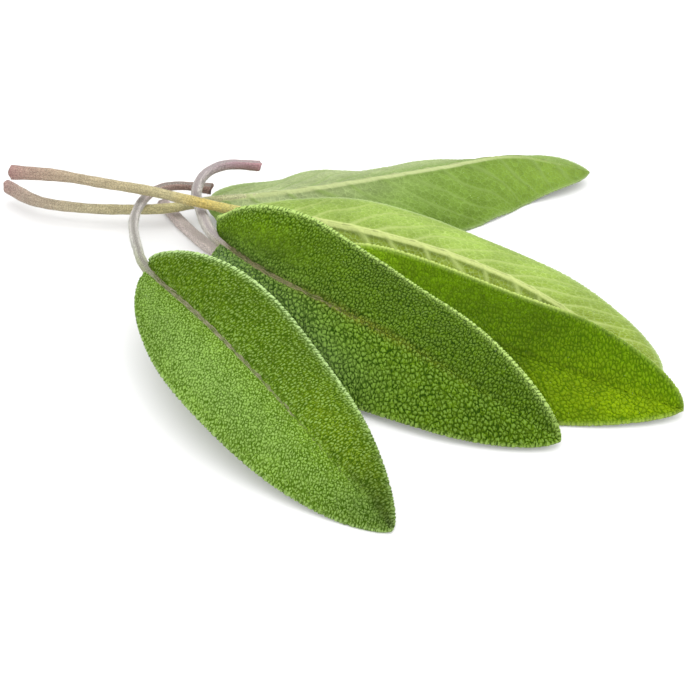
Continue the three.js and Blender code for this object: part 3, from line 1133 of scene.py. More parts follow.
@dataclass(frozen=True)
class Half:
    """One half of a blade, from the midrib to a margin. Angles are in degrees.

    Attributes:
        width: Millimetres from midrib to margin where it is widest.
        rise: Rise above level at even steps from base to tip.
        curl: Extra rise at the margin.
        base: Power that shapes the outline at the base.
        tip: Power that shapes the outline at the tip.
        lobe: How far the lobe beside the stalk reaches back.
        wave: Height of the waves along the margin.
        phase: Where the waves start.
        pale: How pale the beads of the margin are.
        beads: Length of those beads in millimetres.
        grain: Size of the pads on this half, as a share of the leaf's.
        stretch: How much longer than wide the pads are.
        slant: Angle from the midrib to the long way of the pads.
        tone: Painted shade of this half, as a share of the leaf's colours: how light the half is shown.
        waves: Number of waves along the margin.
        fade: Share of the blade where the pale beads start to fade towards the tip.
    """

    width: float
    rise: tuple[float, ...]
    curl: float
    base: float
    tip: float
    lobe: float
    wave: float = 0.0
    phase: float = 0.0
    pale: float = 1.0
    beads: float = 0.8
    grain: float = 1.0
    stretch: float = 1.25
    slant: float = 48.0
    tone: float = 1.0
    waves: float = 4.0
    fade: float = 1.0

    def outline(self, run: Array) -> Array:
        """Reads the outline.

        Args:
            run: Share of the blade from base to tip.

        Returns:
            Millimetres from midrib to margin there.
        """
        inside = np.clip(run, 0, 1)
        shape = (inside + BASE_WIDTH_START) ** self.base * (1 - inside) ** self.tip
        widest = (self.base - self.tip * BASE_WIDTH_START) / (self.base + self.tip)
        top = (widest + BASE_WIDTH_START) ** self.base * (1 - widest) ** self.tip
        return self.width * shape / top

    def setback(self, run: Array) -> Array:
        """How far the margin lies behind its row at each share of the blade."""
        return self.lobe * np.exp(-run / LOBE_LENGTH)

    def rise_at(self, run: Array) -> Array:
        """Rise above level at each share of the blade, without the curl."""
        return smooth_along(self.rise, run)


@dataclass(frozen=True)
class Patch:
    """A soft patch of another colour, in shares of the blade.

    Attributes:
        run: Where it lies between base and tip.
        across: Where it lies between the far margin, -1, and the near one, 1.
        length: How far it reaches along.
        width: How far it reaches across.
        strength: How much it shows.
    """

    run: float
    across: float
    length: float
    width: float
    strength: float


@dataclass(frozen=True)
class Markings:
    """What marks the faces of one leaf's blade.

    Attributes:
        bloom: Patches of the paler colour, which on an upper side is partly painted sheen, or of haze on
            an underside.
        warm: Patches of the warm colour, or of the shaded one on an underside.
        tones: Patches of painted light, or of painted shade where their strength is below zero; some are
            the leaf's own lighter and darker places.
        calm: Patches where the relief shows less.
        rib_end: Share of the blade where the midrib's mark ends, or on a leaf that lies with its
            underside up starts to fade.
        rib_width: Millimetres across that mark at the base.
        crease: How dark the painted shade in the crease beside the midrib is.
    """

    bloom: tuple[Patch, ...] = ()
    warm: tuple[Patch, ...] = ()
    tones: tuple[Patch, ...] = ()
    calm: tuple[Patch, ...] = ()
    rib_end: float = 0.75
    rib_width: float = 1.05
    crease: float = 0.18


class Margin(NamedTuple):
    """Where each point of a blade lies beside its margin, as grids.

    Attributes:
        rim: Millimetres from the margin.
        band: From 0 at the margin to 1 where its beads end.
        tooth: From 0 between two teeth of the margin to 1 on one.
        bead: From 0 to 1 on the round beads behind the teeth.
    """

    rim: Array
    band: Array
    tooth: Array
    bead: Array


class Marks(NamedTuple):
    """Where each point of a blade lies, as grids.

    Attributes:
        share: Share of the blade from base to tip.
        across: From the far margin, -1, to the near margin, 1.
        along: Millimetres from the base, along the midrib.
        out: Millimetres from the midrib.
        margin: Where it lies beside the margin.
        vein: From 0 to 1 on a side vein.
        phase: From 0 to 1 on the way past a side vein, which lies at 0.5.
        rib: From 0 to 1 on the midrib.
        hand: A number of its own for each half of each leaf.
    """

    share: Array
    across: Array
    along: Array
    out: Array
    margin: Margin
    vein: Array
    phase: Array
    rib: Array
    hand: Array


@dataclass(frozen=True)
class Blade:
    """The blade of a leaf.

    Attributes:
        leaf: The leaf.
        line: Its centre line.
        thickness: Millimetres from face to face at the midrib.
        vein_spacing: Millimetres from one side vein to the next.
    """

    leaf: Leaf
    line: CentreLine
    thickness: float = 0.38
    vein_spacing: float = 5.4

    def pick(self, across: Array, what: str, *arguments: Array) -> Array:
        """Reads a field or a method of the half that each point is on.

        Args:
            across: From the far margin, -1, to the near margin, 1.
            what: Name of the field or the method.
            *arguments: What the method takes; nothing for a field.

        Returns:
            The value at each point.
        """
        values = [getattr(half, what) for half in (self.leaf.near, self.leaf.far)]
        if arguments:
            values = [value(*arguments) for value in values]
        return np.where(across >= 0, *values)

    def middle(self, run: Array, across: Array) -> Array:
        """Points of the blade's middle surface.

        Args:
            run: Share of the blade from base to tip.
            across: From the far margin, -1, to the near margin, 1.

        Returns:
            The points in millimetres.
        """
        run, across = np.broadcast_arrays(run, across)
        out = np.abs(across)
        full = out * (1 + LOBE_BULGE * (1 - out))
        length = self.line.blade_length - EDGE_ROUND
        distance = length * run - self.pick(across, "setback", run) * full
        frame = self.line.frame_at(distance, smooth_along(self.leaf.roll, run))
        rise = np.radians(self.pick(across, "rise_at", run) + self.pick(across, "curl") * out)
        reach = (self.pick(across, "outline", run) - TOOTH / 2) * out
        swell = np.sqrt(np.clip(np.sin(np.pi * run), 0, 1))
        turns = 2 * np.pi * self.pick(across, "waves") * run + self.pick(across, "phase")
        wave = self.pick(across, "wave") * np.sin(turns) * out**2 * swell
        sideways = np.sign(across) * reach * np.cos(rise)
        upwards = reach * np.sin(rise) + wave
        return frame.centre + sideways[..., None] * frame.across + upwards[..., None] * frame.normal

    def margin(self, run: Array, across: Array) -> Margin:
        """Finds the teeth and beads, which follow each other along the margin.

        Args:
            run: Share of the blade, one a row.
            across: Place across, one a column.

        Returns:
            Where each point lies beside the margin.
        """
        halves = self.leaf.near, self.leaf.far
        shares, places = np.broadcast_arrays(run, across)
        near, inwards = places >= 0, 1 - np.abs(places)
        width = self.pick(places, "outline", shares)
        pull = self.pick(places, "setback", shares) * (1 - LOBE_BULGE)
        back = self.line.blade_length * run - np.hstack([half.setback(run) for half in halves])
        step_run, step_out = (
            np.gradient(edge, axis=0) for edge in (back, np.hstack([h.outline(run) for h in halves]))
        )
        lengths = np.cumsum(np.hypot(step_run, step_out), axis=0)
        slopes = step_out / step_run
        slope = np.where(near, slopes[:, :1], slopes[:, 1:])
        steep = np.sqrt(1 + slope**2)
        rim = inwards * (pull * slope + width) / steep
        beside = inwards * (pull - width * slope) / steep
        passed = np.where(near, lengths[:, :1], lengths[:, 1:] + FAR_BEAD_START)
        beads = (passed + beside) / BEAD_PITCH
        beads = beads + BEAD_DRIFTS[0].at(beads, self.leaf.seed) + BEAD_DRIFTS[1].at(beads, 0)
        tooth = np.abs(np.sin(np.pi * beads)) ** 1.1
        band = np.clip(rim / self.pick(places, "beads"), 0, 1)
        return Margin(rim, band, tooth, tooth * np.sqrt(np.clip(1 - (2 * band - 1) ** 2, 0, 1)))

    def veins(self, along: Array, reach: Array, out: Array,
              hand: Array) -> tuple[Array, Array]:
        """Finds the side veins and the finer ones between them.

        Args:
            along: Millimetres from the base.
            reach: Millimetres from the midrib.
            out: From the midrib, 0, to the margin, 1.
            hand: A number of its own for each half.

        Returns:
            From 0 to 1 on a vein, and the phase.
        """
        lean = reach / math.tan(VEIN_ANGLE) + VEIN_BEND * reach**2
        start = along - lean + hand + VEIN_DRIFTS[0].at(along, hand) + VEIN_DRIFTS[1].at(reach, hand)
        phase = (start / self.vein_spacing) % 1
        off = np.abs(phase - 0.5) * self.vein_spacing * math.sin(VEIN_ANGLE)
        vein = bell(off, VEIN_THICKNESS[self.leaf.side] * (1 - 0.5 * out)) * (1 - 0.55 * out)
        between = np.abs((2 * phase) % 1 - 0.5) * self.vein_spacing / 2
        twig = bell(between, TWIG_THICKNESS) * ramp(reach, 2.0, 4.5) * (1 - 0.6 * out) * TWIG_STRENGTH
        return np.maximum(vein, twig), phase

    def marks(self, run: Array, across: Array) -> Marks:
        """Finds where each point lies among veins and margins.

        Args:
            run: Share of the blade, one a row.
            across: Place across, one a column.

        Returns:
            The grids.
        """
        shares, places = np.broadcast_arrays(run, across)
        out = np.abs(places)
        setback = self.pick(places, "setback", shares)
        along = self.line.blade_length * shares - setback * out * (1 + LOBE_BULGE * (1 - out))
        reach = self.pick(places, "outline", shares) * out
        hand = np.where(places >= 0, 0.0, OTHER_HALF) + self.leaf.seed
        vein, phase = self.veins(along, reach, out, hand)
        beside = reach / (self.leaf.markings.rib_width / 2 * (1 - 0.62 * shares))
        end = self.leaf.markings.rib_end
        if self.leaf.side is Side.UPPER:
            rib = (1 - ramp(beside, 0.5, 1.3)) * ramp(shares, end, 0.1)
        else:
            rib = (1 - ramp(beside, 0.8, 1.35)) * ramp(shares, 1.0, end)
        return Marks(shares, places, along, reach, self.margin(run, across),
                     vein * ramp(shares, 1.0, 0.93), phase, rib, hand)

    def spread(self, patches: Sequence[Patch], marks: Marks) -> Array:
        """Adds up some patches.

        Args:
            patches: The patches.
            marks: Where the points lie.

        Returns:
            How much of them shows at each point.
        """
        shown = np.zeros_like(marks.share)
        for patch in patches:
            offset = ((marks.share - patch.run) / patch.length) ** 2
            offset = offset + ((marks.across - patch.across) / patch.width) ** 2
            shown = shown + patch.strength * np.exp(-offset)
        return shown

    def upper_relief(self, marks: Marks) -> dict[str, Array]:
        """Shapes the upper side: pads, beads and a groove with a fine ridge over the midrib.

        Args:
            marks: Where the points lie.

        Returns:
            Arrays by attribute name.
        """
        margin, rib, width = marks.margin, marks.rib, self.leaf.markings.rib_width
        pads = ramp(margin.band, 0.75, 1.0) * (1 - rib)
        fold, ridge = bell(marks.out, 0.5 * width), bell(marks.out, 0.2 * width) * rib
        lift = BEAD_LIFT * margin.bead + RIDGE_LIFT * ridge - RIB_SINK * rib
        lift = lift - FOLD_SINK * fold - VEIN_SINK * marks.vein * pads
        downy = 0.05 + 0.6 * (1 - ramp(margin.rim, 0.25, 0.7)) + 0.6 * ramp(marks.share, 0.12, 0.0)
        downy = downy + 0.5 * rib * ramp(marks.share, 0.5, 0.1)
        return {"pads": pads, "lift": lift, "vein": marks.vein, "downy": np.clip(downy, 0, 1)}

    def under_relief(self, marks: Marks) -> dict[str, Array]:
        """Shapes the underside: hollows between raised veins, and a swelling along the midrib.

        Args:
            marks: Where the points lie.

        Returns:
            Arrays by attribute name.
        """
        margin = marks.margin
        pads = -HOLLOW * ramp(margin.band, 0.75, 1.0) * (1 - marks.vein)
        fillet = bell(marks.out, FILLET_WIDTH) * ramp(marks.share, 1.0, 0.6)
        lift = (VEIN_LIFT - VEIN_LIFT_LOSS * np.abs(marks.across)) * marks.vein
        lift = lift + UNDER_BEAD_LIFT * margin.bead + FILLET_LIFT * fillet
        vein = np.maximum(0.8 * marks.vein, 0.3 * fillet)
        downy = 0.2 + 0.6 * (1 - ramp(margin.rim, 0.25, 0.7))
        return {"pads": pads, "lift": lift, "vein": vein, "downy": np.clip(downy, 0, 1)}

    def tone(self, marks: Marks, upper: bool) -> Array:
        """How light each point is painted: the painted shade of its half, its lighter and darker
        patches, and the painted shade in the crease beside the midrib.

        Args:
            marks: Where the points lie.
            upper: True for the upper side.

        Returns:
            Shares of the leaf's colours.
        """
        near, far, patches = self.leaf.near.tone, self.leaf.far.tone, self.leaf.markings.tones
        tone = far + (near - far) * ramp(marks.across, -0.25, 0.1) + self.spread(patches, marks)
        # Painted shade beside the midrib on the side away from the light: the far side of an upper side,
        # the near side of an underside.
        shaded_side = -0.01 if upper else 0.01
        crease = bell(marks.out - CREASE_OUT, CREASE_WIDTH) * ramp(marks.across, 0.0, shaded_side)
        return tone - self.leaf.markings.crease * (crease * ramp(marks.share, 1.0, 0.7))

    def pale(self, marks: Marks) -> Array:
        """How pale the margin shows.

        Args:
            marks: Where the points lie.

        Returns:
            From 0 to 1 at each point.
        """
        share, rim = marks.share, marks.margin.rim
        strength = self.pick(marks.across, "pale")
        strength = strength * (1 - 0.8 * ramp(share - self.pick(marks.across, "fade"), 0.0, 0.16))
        beads = rim / self.pick(marks.across, "beads")
        shown = strength * (1 - 0.7 * ramp(beads, 0.5, 1.1) - 0.3 * ramp(beads, 0.6, 2.4))
        return np.clip(shown + 0.3 * (1 - ramp(rim, 0, 0.2)), 0, 1)

    def values(self, marks: Marks, skyward: bool) -> dict[str, Array]:
        """What one face of the blade keeps at its points.

        Args:
            marks: Where the points lie.
            skyward: True for the face that looks up.

        Returns:
            Arrays by attribute name.
        """
        upper = skyward == (self.leaf.side is Side.UPPER)
        angle = np.radians(self.pick(marks.across, "slant"))
        sin, cos, flat = np.sin(angle), np.cos(angle), np.zeros_like(angle)
        shift = HAND_SHIFT * marks.hand + (0 if upper else FACE_SHIFT)
        wide = marks.along * sin - marks.out * cos
        long = (marks.along * cos + marks.out * sin) / self.pick(marks.across, "stretch")
        cells = np.stack([wide, long, flat], -1) / self.pick(marks.across, "grain")[..., None]
        cells[..., 0] += shift
        strokes = [5 * marks.out * np.sign(marks.across) + shift, 0.7 * marks.along, flat]
        shown = {name: np.clip(self.spread(getattr(self.leaf.markings, name), marks), 0, 1)
                 for name in ("bloom", "warm", "calm")}
        return {
            "cells": cells,
            "strokes": np.stack(strokes, -1),
            "bead": marks.margin.tooth * (1 - ramp(marks.margin.band, 0.75, 1.0)),
            "tone": self.tone(marks, upper),
            "pale": self.pale(marks),
            "rib": marks.rib,
            "skyward": np.full_like(flat, 1.0 if skyward else -1.0),
            **(self.upper_relief(marks) if upper else self.under_relief(marks)),
            **shown,
        }

    def shell(self) -> Shell:
        """Builds the blade: a fine face to the sky, a rounded rim and a coarser face to the floor.

        Returns:
            The closed shell.
        """
        widest = self.leaf.near.width + self.leaf.far.width
        rows = FLOOR_RATIO * round(self.line.blade_length / self.leaf.mesh_step / FLOOR_RATIO)
        columns = 2 * FLOOR_RATIO * round(widest / self.leaf.mesh_step / FLOOR_RATIO / 2)
        run = np.linspace(0, 1, rows + 1)[:, None]
        across = np.linspace(-1, 1, columns + 1)[None, :]
        marks = self.marks(run, across)
        margin = marks.margin
        middle = self.middle(run, across)
        slope_out = np.gradient(middle, axis=1)
        normal = unit(np.cross(slope_out, np.gradient(middle, axis=0)))
        normal[-2:] = normal[-3]
        outward = unit(slope_out) * np.sign(across)[..., None]
        push = TOOTH * margin.tooth * (1 - margin.band) * ramp(marks.share, 1.0, 0.98)
        pucker = QUILT[self.leaf.side] * np.cos(2 * np.pi * marks.phase) * ramp(margin.rim, 0.5, 4.0)
        pucker = pucker * ramp(marks.out, 0.3, 2.5)
        middle = middle + push[..., None] * outward - pucker[..., None] * normal * self.leaf.side.value
        half = self.thickness / 2 * (1 - RIM_THINNING * np.abs(marks.across) ** 4)
        sky = middle + half[..., None] * normal
        floor = middle - half[..., None] * normal
        sky[..., 2] = np.maximum(sky[..., 2], self.thickness)
        floor[..., 2] = np.maximum(floor[..., 2], 0)
        edge = middle + outward * EDGE_ROUND
        edge[-1] = middle[-1] + unit(middle[-1] - middle[-2]) * EDGE_ROUND
        edge[0, 1:-1] = middle[0, 1:-1] - unit(middle[1] - middle[0])[1:-1] * EDGE_ROUND
        edge[..., 2] = np.maximum(edge[..., 2], EDGE_ROUND)
        return self.joined(sky, floor, edge, marks)

    def joined(self, sky: Array, floor: Array, edge: Array, marks: Marks) -> Shell:
        """Joins the two faces of the blade round the rim.

        Args:
            sky: Grid of points of the face to the sky.
            floor: Grid of the face to the floor, as fine, of which only some points are used.
            edge: Grid whose outer ring is the rim.
            marks: Where the points lie.

        Returns:
            The closed shell.
        """
        rows, columns = sky.shape[0] - 1, sky.shape[1] - 1
        fine = numbered(0, rows, columns)
        coarse = numbered(fine.max() + 1, rows // FLOOR_RATIO, columns // FLOOR_RATIO)
        rim = coarse.max() + 1 + np.arange(2 * rows + columns)
        shell = Shell(np.concatenate([listed(sky), listed(thinned(floor)), ring(edge)]))

        box = np.stack([MAP_START + MAP_SIZE[0] * marks.share,
                        MAP_MIDDLE[1] + MAP_SIZE[1] * marks.across], -1)
        rim_box = (ring(box) - MAP_MIDDLE) * MAP_RIM + MAP_MIDDLE
        boxes = [listed(box), listed(thinned(box - MAP_TO_FLOOR))]
        sky_map = np.concatenate([*boxes, rim_box])
        floor_map = np.concatenate([*boxes, rim_box - MAP_TO_FLOOR])

        top = ring(fine)
        shell.add(grid_faces(fine[:-1]), sky_map)
        shell.add(np.stack([fine[-2, :-1], fine[-2, 1:], fine[-1, 1:]], -1), sky_map)
        shell.add(np.stack([top, np.roll(top, -1), np.roll(rim, -1), rim], -1), sky_map)
        shell.add(lace(rim, ring(coarse)), floor_map)
        shell.add(grid_faces(coarse[:-1])[:, ::-1], floor_map)
        shell.add(np.stack([coarse[-2, 1:], coarse[-2, :-1], coarse[-1, 1:]], -1), floor_map)

        above, below = self.values(marks, True), self.values(marks, False)
        for key, value in above.items():
            around = np.zeros_like(ring(value)) if key in ("lift", "pads") else ring(value)
            shell.values[key] = np.concatenate([listed(value), listed(thinned(below[key])), around])
        return shell


# --- Stalk and midrib ---
GROOVE_DEPTH = 0.3  # as a share of the radius
FIBRES = ((0.02, 7, 0), (0.012, 11, 1))  # height as a share of the radius, number and turn
LUMPS = (Drift(0.03, 0.8), Drift(0.02, 2.3))  # along the stalk, as shares of the radius

# The cut end: how far it slants, and how it is dished
CUT_SLANT = ((0.45, 1), (0.12, 3))  # millimetres, and how many times round the end
DISH_RIM = 0.62
DISH_STEP = 0.12
DISH_DEPTH = 0.16
TIP_LENGTH = 0.05  # how far the end of the midrib is drawn out

# The stalk on the bake map: the long side, and the discs of the cut end and of the tip
STALK_MAP_START = (0.06, 0.02)
STALK_MAP_SIZE = (0.92, 0.96)
CUT_MAP = (0.03, 0.5)
TIP_MAP = (0.03, 0.2)
DISC_MAP_RADIUS = 0.025
DISH_MAP_RADIUS = 0.015


@dataclass(frozen=True)
class Girth:
    """How thick a stalk is, in millimetres.

    Attributes:
        cut: Radius at the cut end.
        free: Radius beyond the flare of the cut end.
        base: Radius at the base of the blade.
        flare: Length of the flare.
    """

    cut: float = 1.0
    free: float = 0.88
    base: float = 0.82
    flare: float = 5.0


@dataclass(frozen=True)
class Stalk:
    """The stalk of a leaf, which runs on along the blade as the midrib. Sizes are in millimetres.

    Attributes:
        leaf: The leaf.
        line: Its centre line.
        blade_thickness: How thick the blade is.
        rib_radius: Radius of the midrib near the base of the blade.
        end_radius: Radius where the midrib ends.
        midrib_end: Share of the blade where it ends.
        sides: Number of points round it.
        step: From one ring of points to the next.
    """

    leaf: Leaf
    line: CentreLine
    blade_thickness: float
    rib_radius: float = 0.6
    end_radius: float = 0.1
    midrib_end: float = 0.92
    sides: int = 28
    step: float = 0.4

    def radius(self, distance: Array) -> Array:
        """Reads the thickness.

        Args:
            distance: Millimetres from the base of the blade.

        Returns:
            The radius there.
        """
        girth, line = self.leaf.girth, self.line
        share = np.clip(distance / (line.blade_length * self.midrib_end), 0, 1)
        rib = self.rib_radius + (self.end_radius - self.rib_radius) * share
        rib = rib + (girth.base - self.rib_radius) * ramp(distance, 9.0, 0.0)
        free = np.clip(-distance / line.stalk_length, 0, 1)
        plain = girth.base + (girth.free - girth.base) * free
        flare = 1 - ramp(distance + line.stalk_length, 0, girth.flare)
        return np.where(distance > 0, rib, plain + (girth.cut - plain) * flare)

    def lift(self, distance: Array, radius: Array) -> Array:
        """Sinks the midrib under the upper side, or into the skin of an underside.

        Args:
            distance: Millimetres from the base of the blade.
            radius: Radius there.

        Returns:
            Height of the middle above the leaf's centre line.
        """
        if self.leaf.side is Side.UPPER:
            return -(radius + 0.04) * ramp(distance, -3.0, 5.0)
        sunk = (0.32 + 0.4 * ramp(distance, 2.0, 12.0)) * radius
        return (self.blade_thickness / 2 - sunk) * ramp(distance, -5.0, 1.0)

    def shell(self) -> Shell:
        """Builds the stalk as rings from its cut end to the end of the midrib.

        Returns:
            The closed shell.
        """
        line = self.line
        end = line.blade_length * self.midrib_end
        count = round((line.stalk_length + end) / self.step)
        distance = np.linspace(-line.stalk_length, end, count + 1)
        share = np.clip(distance / line.blade_length, 0, 1)
        frame = line.frame_at(distance, smooth_along(self.leaf.roll, share))
        radius = self.radius(distance)
        centre = frame.centre + self.lift(distance, radius)[:, None] * frame.normal
        angle = 2 * np.pi * (np.arange(self.sides) + 0.5) / self.sides
        free = 1 - ramp(distance, -2.0, 3.0)[:, None]
        groove = ramp(np.sin(angle)[None, :] * self.leaf.side.value, 0.7, 1.0) * free
        fibres = sum(height * np.cos(number * angle + turn) for height, number, turn in FIBRES)
        lumps = LUMPS[0].at(distance, self.leaf.seed) + LUMPS[1].at(distance, self.leaf.seed)
        size = radius[:, None] * (1 - GROOVE_DEPTH * groove + fibres + lumps[:, None])
        points = (
            centre[:, None]
            + (size * np.cos(angle))[..., None] * frame.across[:, None]
            + (size * np.sin(angle))[..., None] * frame.normal[:, None]
        )
        slant = sum(reach * (1 + np.cos(number * angle + self.leaf.seed)) for reach, number in CUT_SLANT)
        points[0] += slant[:, None] * frame.along[0]
        points[..., 2] = np.maximum(points[..., 2], 0)
        shell = self.closed(points, frame.along, angle)
        shell.values.update(self.values(distance, angle, groove))
        return shell

    def closed(self, points: Array, along: Array, angle: Array) -> Shell:
        """Closes the rings at both ends.

        Args:
            points: Rings of points.
            along: Direction to the tip at each ring.
            angle: Angle of each side.

        Returns:
            The closed shell.
        """
        rings, sides = points.shape[:2]
        numbers = np.arange(rings * sides).reshape(rings, sides)
        dish = numbers.size + np.arange(sides)
        cut, tip = numbers.size + sides, numbers.size + sides + 1
        start = points[0].mean(0)
        inner = start + (points[0] - start) * DISH_RIM + along[0] * DISH_STEP
        ends = [start + along[0] * DISH_DEPTH, points[-1].mean(0) + along[-1] * TIP_LENGTH]
        shell = Shell(np.concatenate([points.reshape(-1, 3), inner, ends]))

        discs = np.zeros((len(shell.points), 2))
        turn = np.stack([np.cos(angle), np.sin(angle)], -1)
        for ring_numbers, middle, size in (
            (numbers[0], CUT_MAP, DISC_MAP_RADIUS),
            (dish, CUT_MAP, DISH_MAP_RADIUS),
            (numbers[-1], TIP_MAP, DISC_MAP_RADIUS),
        ):
            discs[ring_numbers] = middle + size * turn
        discs[cut], discs[tip] = CUT_MAP, TIP_MAP

        box = np.stack(np.broadcast_arrays(
            STALK_MAP_START[0] + STALK_MAP_SIZE[0] * np.linspace(0, 1, rings)[:, None],
            STALK_MAP_START[1] + STALK_MAP_SIZE[1] * np.arange(sides + 1) / sides,
        ), -1)
        wrapped = np.hstack([numbers, numbers[:, :1]])
        shell.faces.append(np.stack(corners(wrapped), -1).reshape(-1, 4))
        shell.maps.append(np.stack(corners(box), -2).reshape(-1, 4, 2))
        first, last, inside = wrapped[0], wrapped[-1], np.append(dish, dish[0])
        shell.add(np.stack([first[:-1], first[1:], inside[1:], inside[:-1]], -1), discs)
        shell.add(np.stack([inside[:-1], inside[1:], np.full(sides, cut)], -1), discs)
        shell.add(np.stack([last[1:], last[:-1], np.full(sides, tip)], -1), discs)
        return shell

    def values(self, distance: Array, angle: Array, groove: Array) -> dict[str, Array]:
        """What the stalk keeps at its points.

        Args:
            distance: Millimetres of each ring from the base of the blade.
            angle: Angle of each side.
            groove: From 0 to 1 in the groove, for each point of the rings.

        Returns:
            Arrays by attribute name.
        """

        def everywhere(body: Array, at_cut: float = 0.0, at_tip: float = 0.0) -> Array:
            """A value of the rings, the dished cut end and the tip at every point of the shell."""
            spread = np.broadcast_to(body, groove.shape).ravel()
            return np.concatenate([spread, np.full(self.sides + 1, at_cut), [at_tip]])

        row = distance[:, None]
        reach = (row + self.line.stalk_length) / (self.line.stalk_length + self.line.blade_length)
        skin = 4.0 * np.cos(angle), 4.0 * np.sin(angle), 0.35 * row
        return {
            "reach": everywhere(reach, at_tip=float(reach[-1, 0])),
            "groove": everywhere(groove),
            "cut": everywhere(np.zeros(1), at_cut=1.0),
            "downy": everywhere(ramp(row, 8.0, 0.0) * 0.88 + 0.12, 0.1, 0.1),
            "skin": np.stack([everywhere(part) for part in skin], -1),
        }


# --- Leaf ---
PAD_HEIGHT = 0.2  # as a share of the pads' pitch
BLADE_HAIRS = {"Hairs per mm2": 2.2, "Length": 0.26, "Thickness": 0.03, "Lean": 0.7}
STALK_HAIRS = {"Hairs per mm2": 11.0, "Length": 0.3, "Thickness": 0.03, "Lean": 0.7}
STALK_SEED = 50  # added to the leaf's seed for the hairs of its stalk


@dataclass(frozen=True)
class Trees:
    """What the leaves share: node trees, shader groups and the material of the hairs."""

    relief: Tree
    down: Tree
    groups: Groups
    hair: bpy.types.Material


@dataclass(frozen=True)
class Leaf:
    """One picked leaf: blade, stalk and down.

    Attributes:
        name: Start of its pieces' names.
        side: The side that faces the sky.
        stalk: Points of the free stalk from its cut end.
        midrib: Points from the base of the blade to its tip.
        near: The half of the blade nearer the viewer.
        far: The other half.
        upper: Finish of the upper side.
        under: Finish of the underside.
        stem: Finish of the stalk.
        blade_slot: Slot of the blade and of the down; not used.
        stem_slot: Slot of the stalk; not used.
        markings: What marks the faces of the blade.
        roll: Turn about the midrib in degrees, at even steps from base to tip.
        mesh_step: Millimetres between the points of the blade's sky side.
        seed: Sets what chance gives this leaf.
        girth: How thick the stalk is.
    """

    name: str
    side: Side
    stalk: tuple[Point, ...]
    midrib: tuple[Point, ...]
    near: Half
    far: Half
    upper: UpperSkin
    under: UnderSkin
    stem: StalkSkin
    blade_slot: str
    stem_slot: str
    markings: Markings
    roll: tuple[float, ...] = (0.0,)
    mesh_step: float = 0.155
    seed: int = 1
    girth: Girth = Girth()

    def build(self, trees: Trees) -> list[Piece]:
        """Builds and dresses the leaf's pieces.

        Args:
            trees: What the leaves share.

        Returns:
            The pieces.
        """
        line = CentreLine(self.stalk, self.midrib)
        blade = Blade(self, line)
        stem = Stalk(self, line, blade.thickness)
        blade_piece = blade.shell().make(f"{self.name}_blade_skin")
        stem_piece = stem.shell().make(f"{self.name}_stalk_skin")
        self.dress(blade_piece, stem_piece, trees)
        down_piece = self.grow_down(blade_piece, stem_piece, trees)
        for piece, node, slot in (
            (blade_piece, f"{self.name}_blade", self.blade_slot),
            (stem_piece, f"{self.name}_stalk", self.stem_slot),
        ):
            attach(piece, BODY)
            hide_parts(node)
        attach(down_piece, BODY)
        return [blade_piece, stem_piece, down_piece]

    def dress(self, blade: Piece, stem: Piece, trees: Trees) -> None:
        """Gives the blade its relief and both pieces their materials.

        Args:
            blade: The blade's piece.
            stem: The stalk's piece.
            trees: What the leaves share.
        """
        skins = [self.upper, self.under]
        sky, floor = skins[:: self.side.value]
        values = {
            "Pitch": sky.pitch,
            "Pad Height": PAD_HEIGHT * sky.pitch,
            "Sky Material": sky.material(trees.groups),
            "Floor Material": floor.material(trees.groups),
        }
        blade.data = applied(blade, trees.relief, values, blade.name)
        stem.data.materials.append(self.stem.material(trees.groups))

    def grow_down(self, blade: Piece, stem: Piece, trees: Trees) -> Piece:
        """Grows the fine hairs of the leaf as one piece.

        Args:
            blade: The blade's piece.
            stem: The stalk's piece.
            trees: What the leaves share.

        Returns:
            The piece of hairs.
        """
        meshes = [
            applied(grown, trees.down, {**hairs, "Seed": seed, "Material": trees.hair}, name)
            for grown, hairs, seed, name in (
                (blade, BLADE_HAIRS, self.seed, "blade hairs"),
                (stem, STALK_HAIRS, self.seed + STALK_SEED, "stalk hairs"),
            )
        ]
        pieces = [linked(f"{self.name}_down", mesh) for mesh in meshes]
        with bpy.context.temp_override(active_object=pieces[0], selected_editable_objects=pieces):
            bpy.ops.object.join()
        return pieces[0]


def keep_inside(piece: Piece, box: tuple[Vector, Vector]) -> None:
    """Moves the outermost points of a piece back to the walls of a box.

    Args:
        piece: The piece, which lies at the origin.
        box: Lowest and highest corner in metres.
    """
    points = np.empty(3 * len(piece.data.vertices), np.float32)
    piece.data.vertices.foreach_get("co", points)
    points = np.clip(points.reshape(-1, 3), np.array(box[0]), np.array(box[1]))
    piece.data.vertices.foreach_set("co", points.astype(np.float32).ravel())
    piece.data.update()


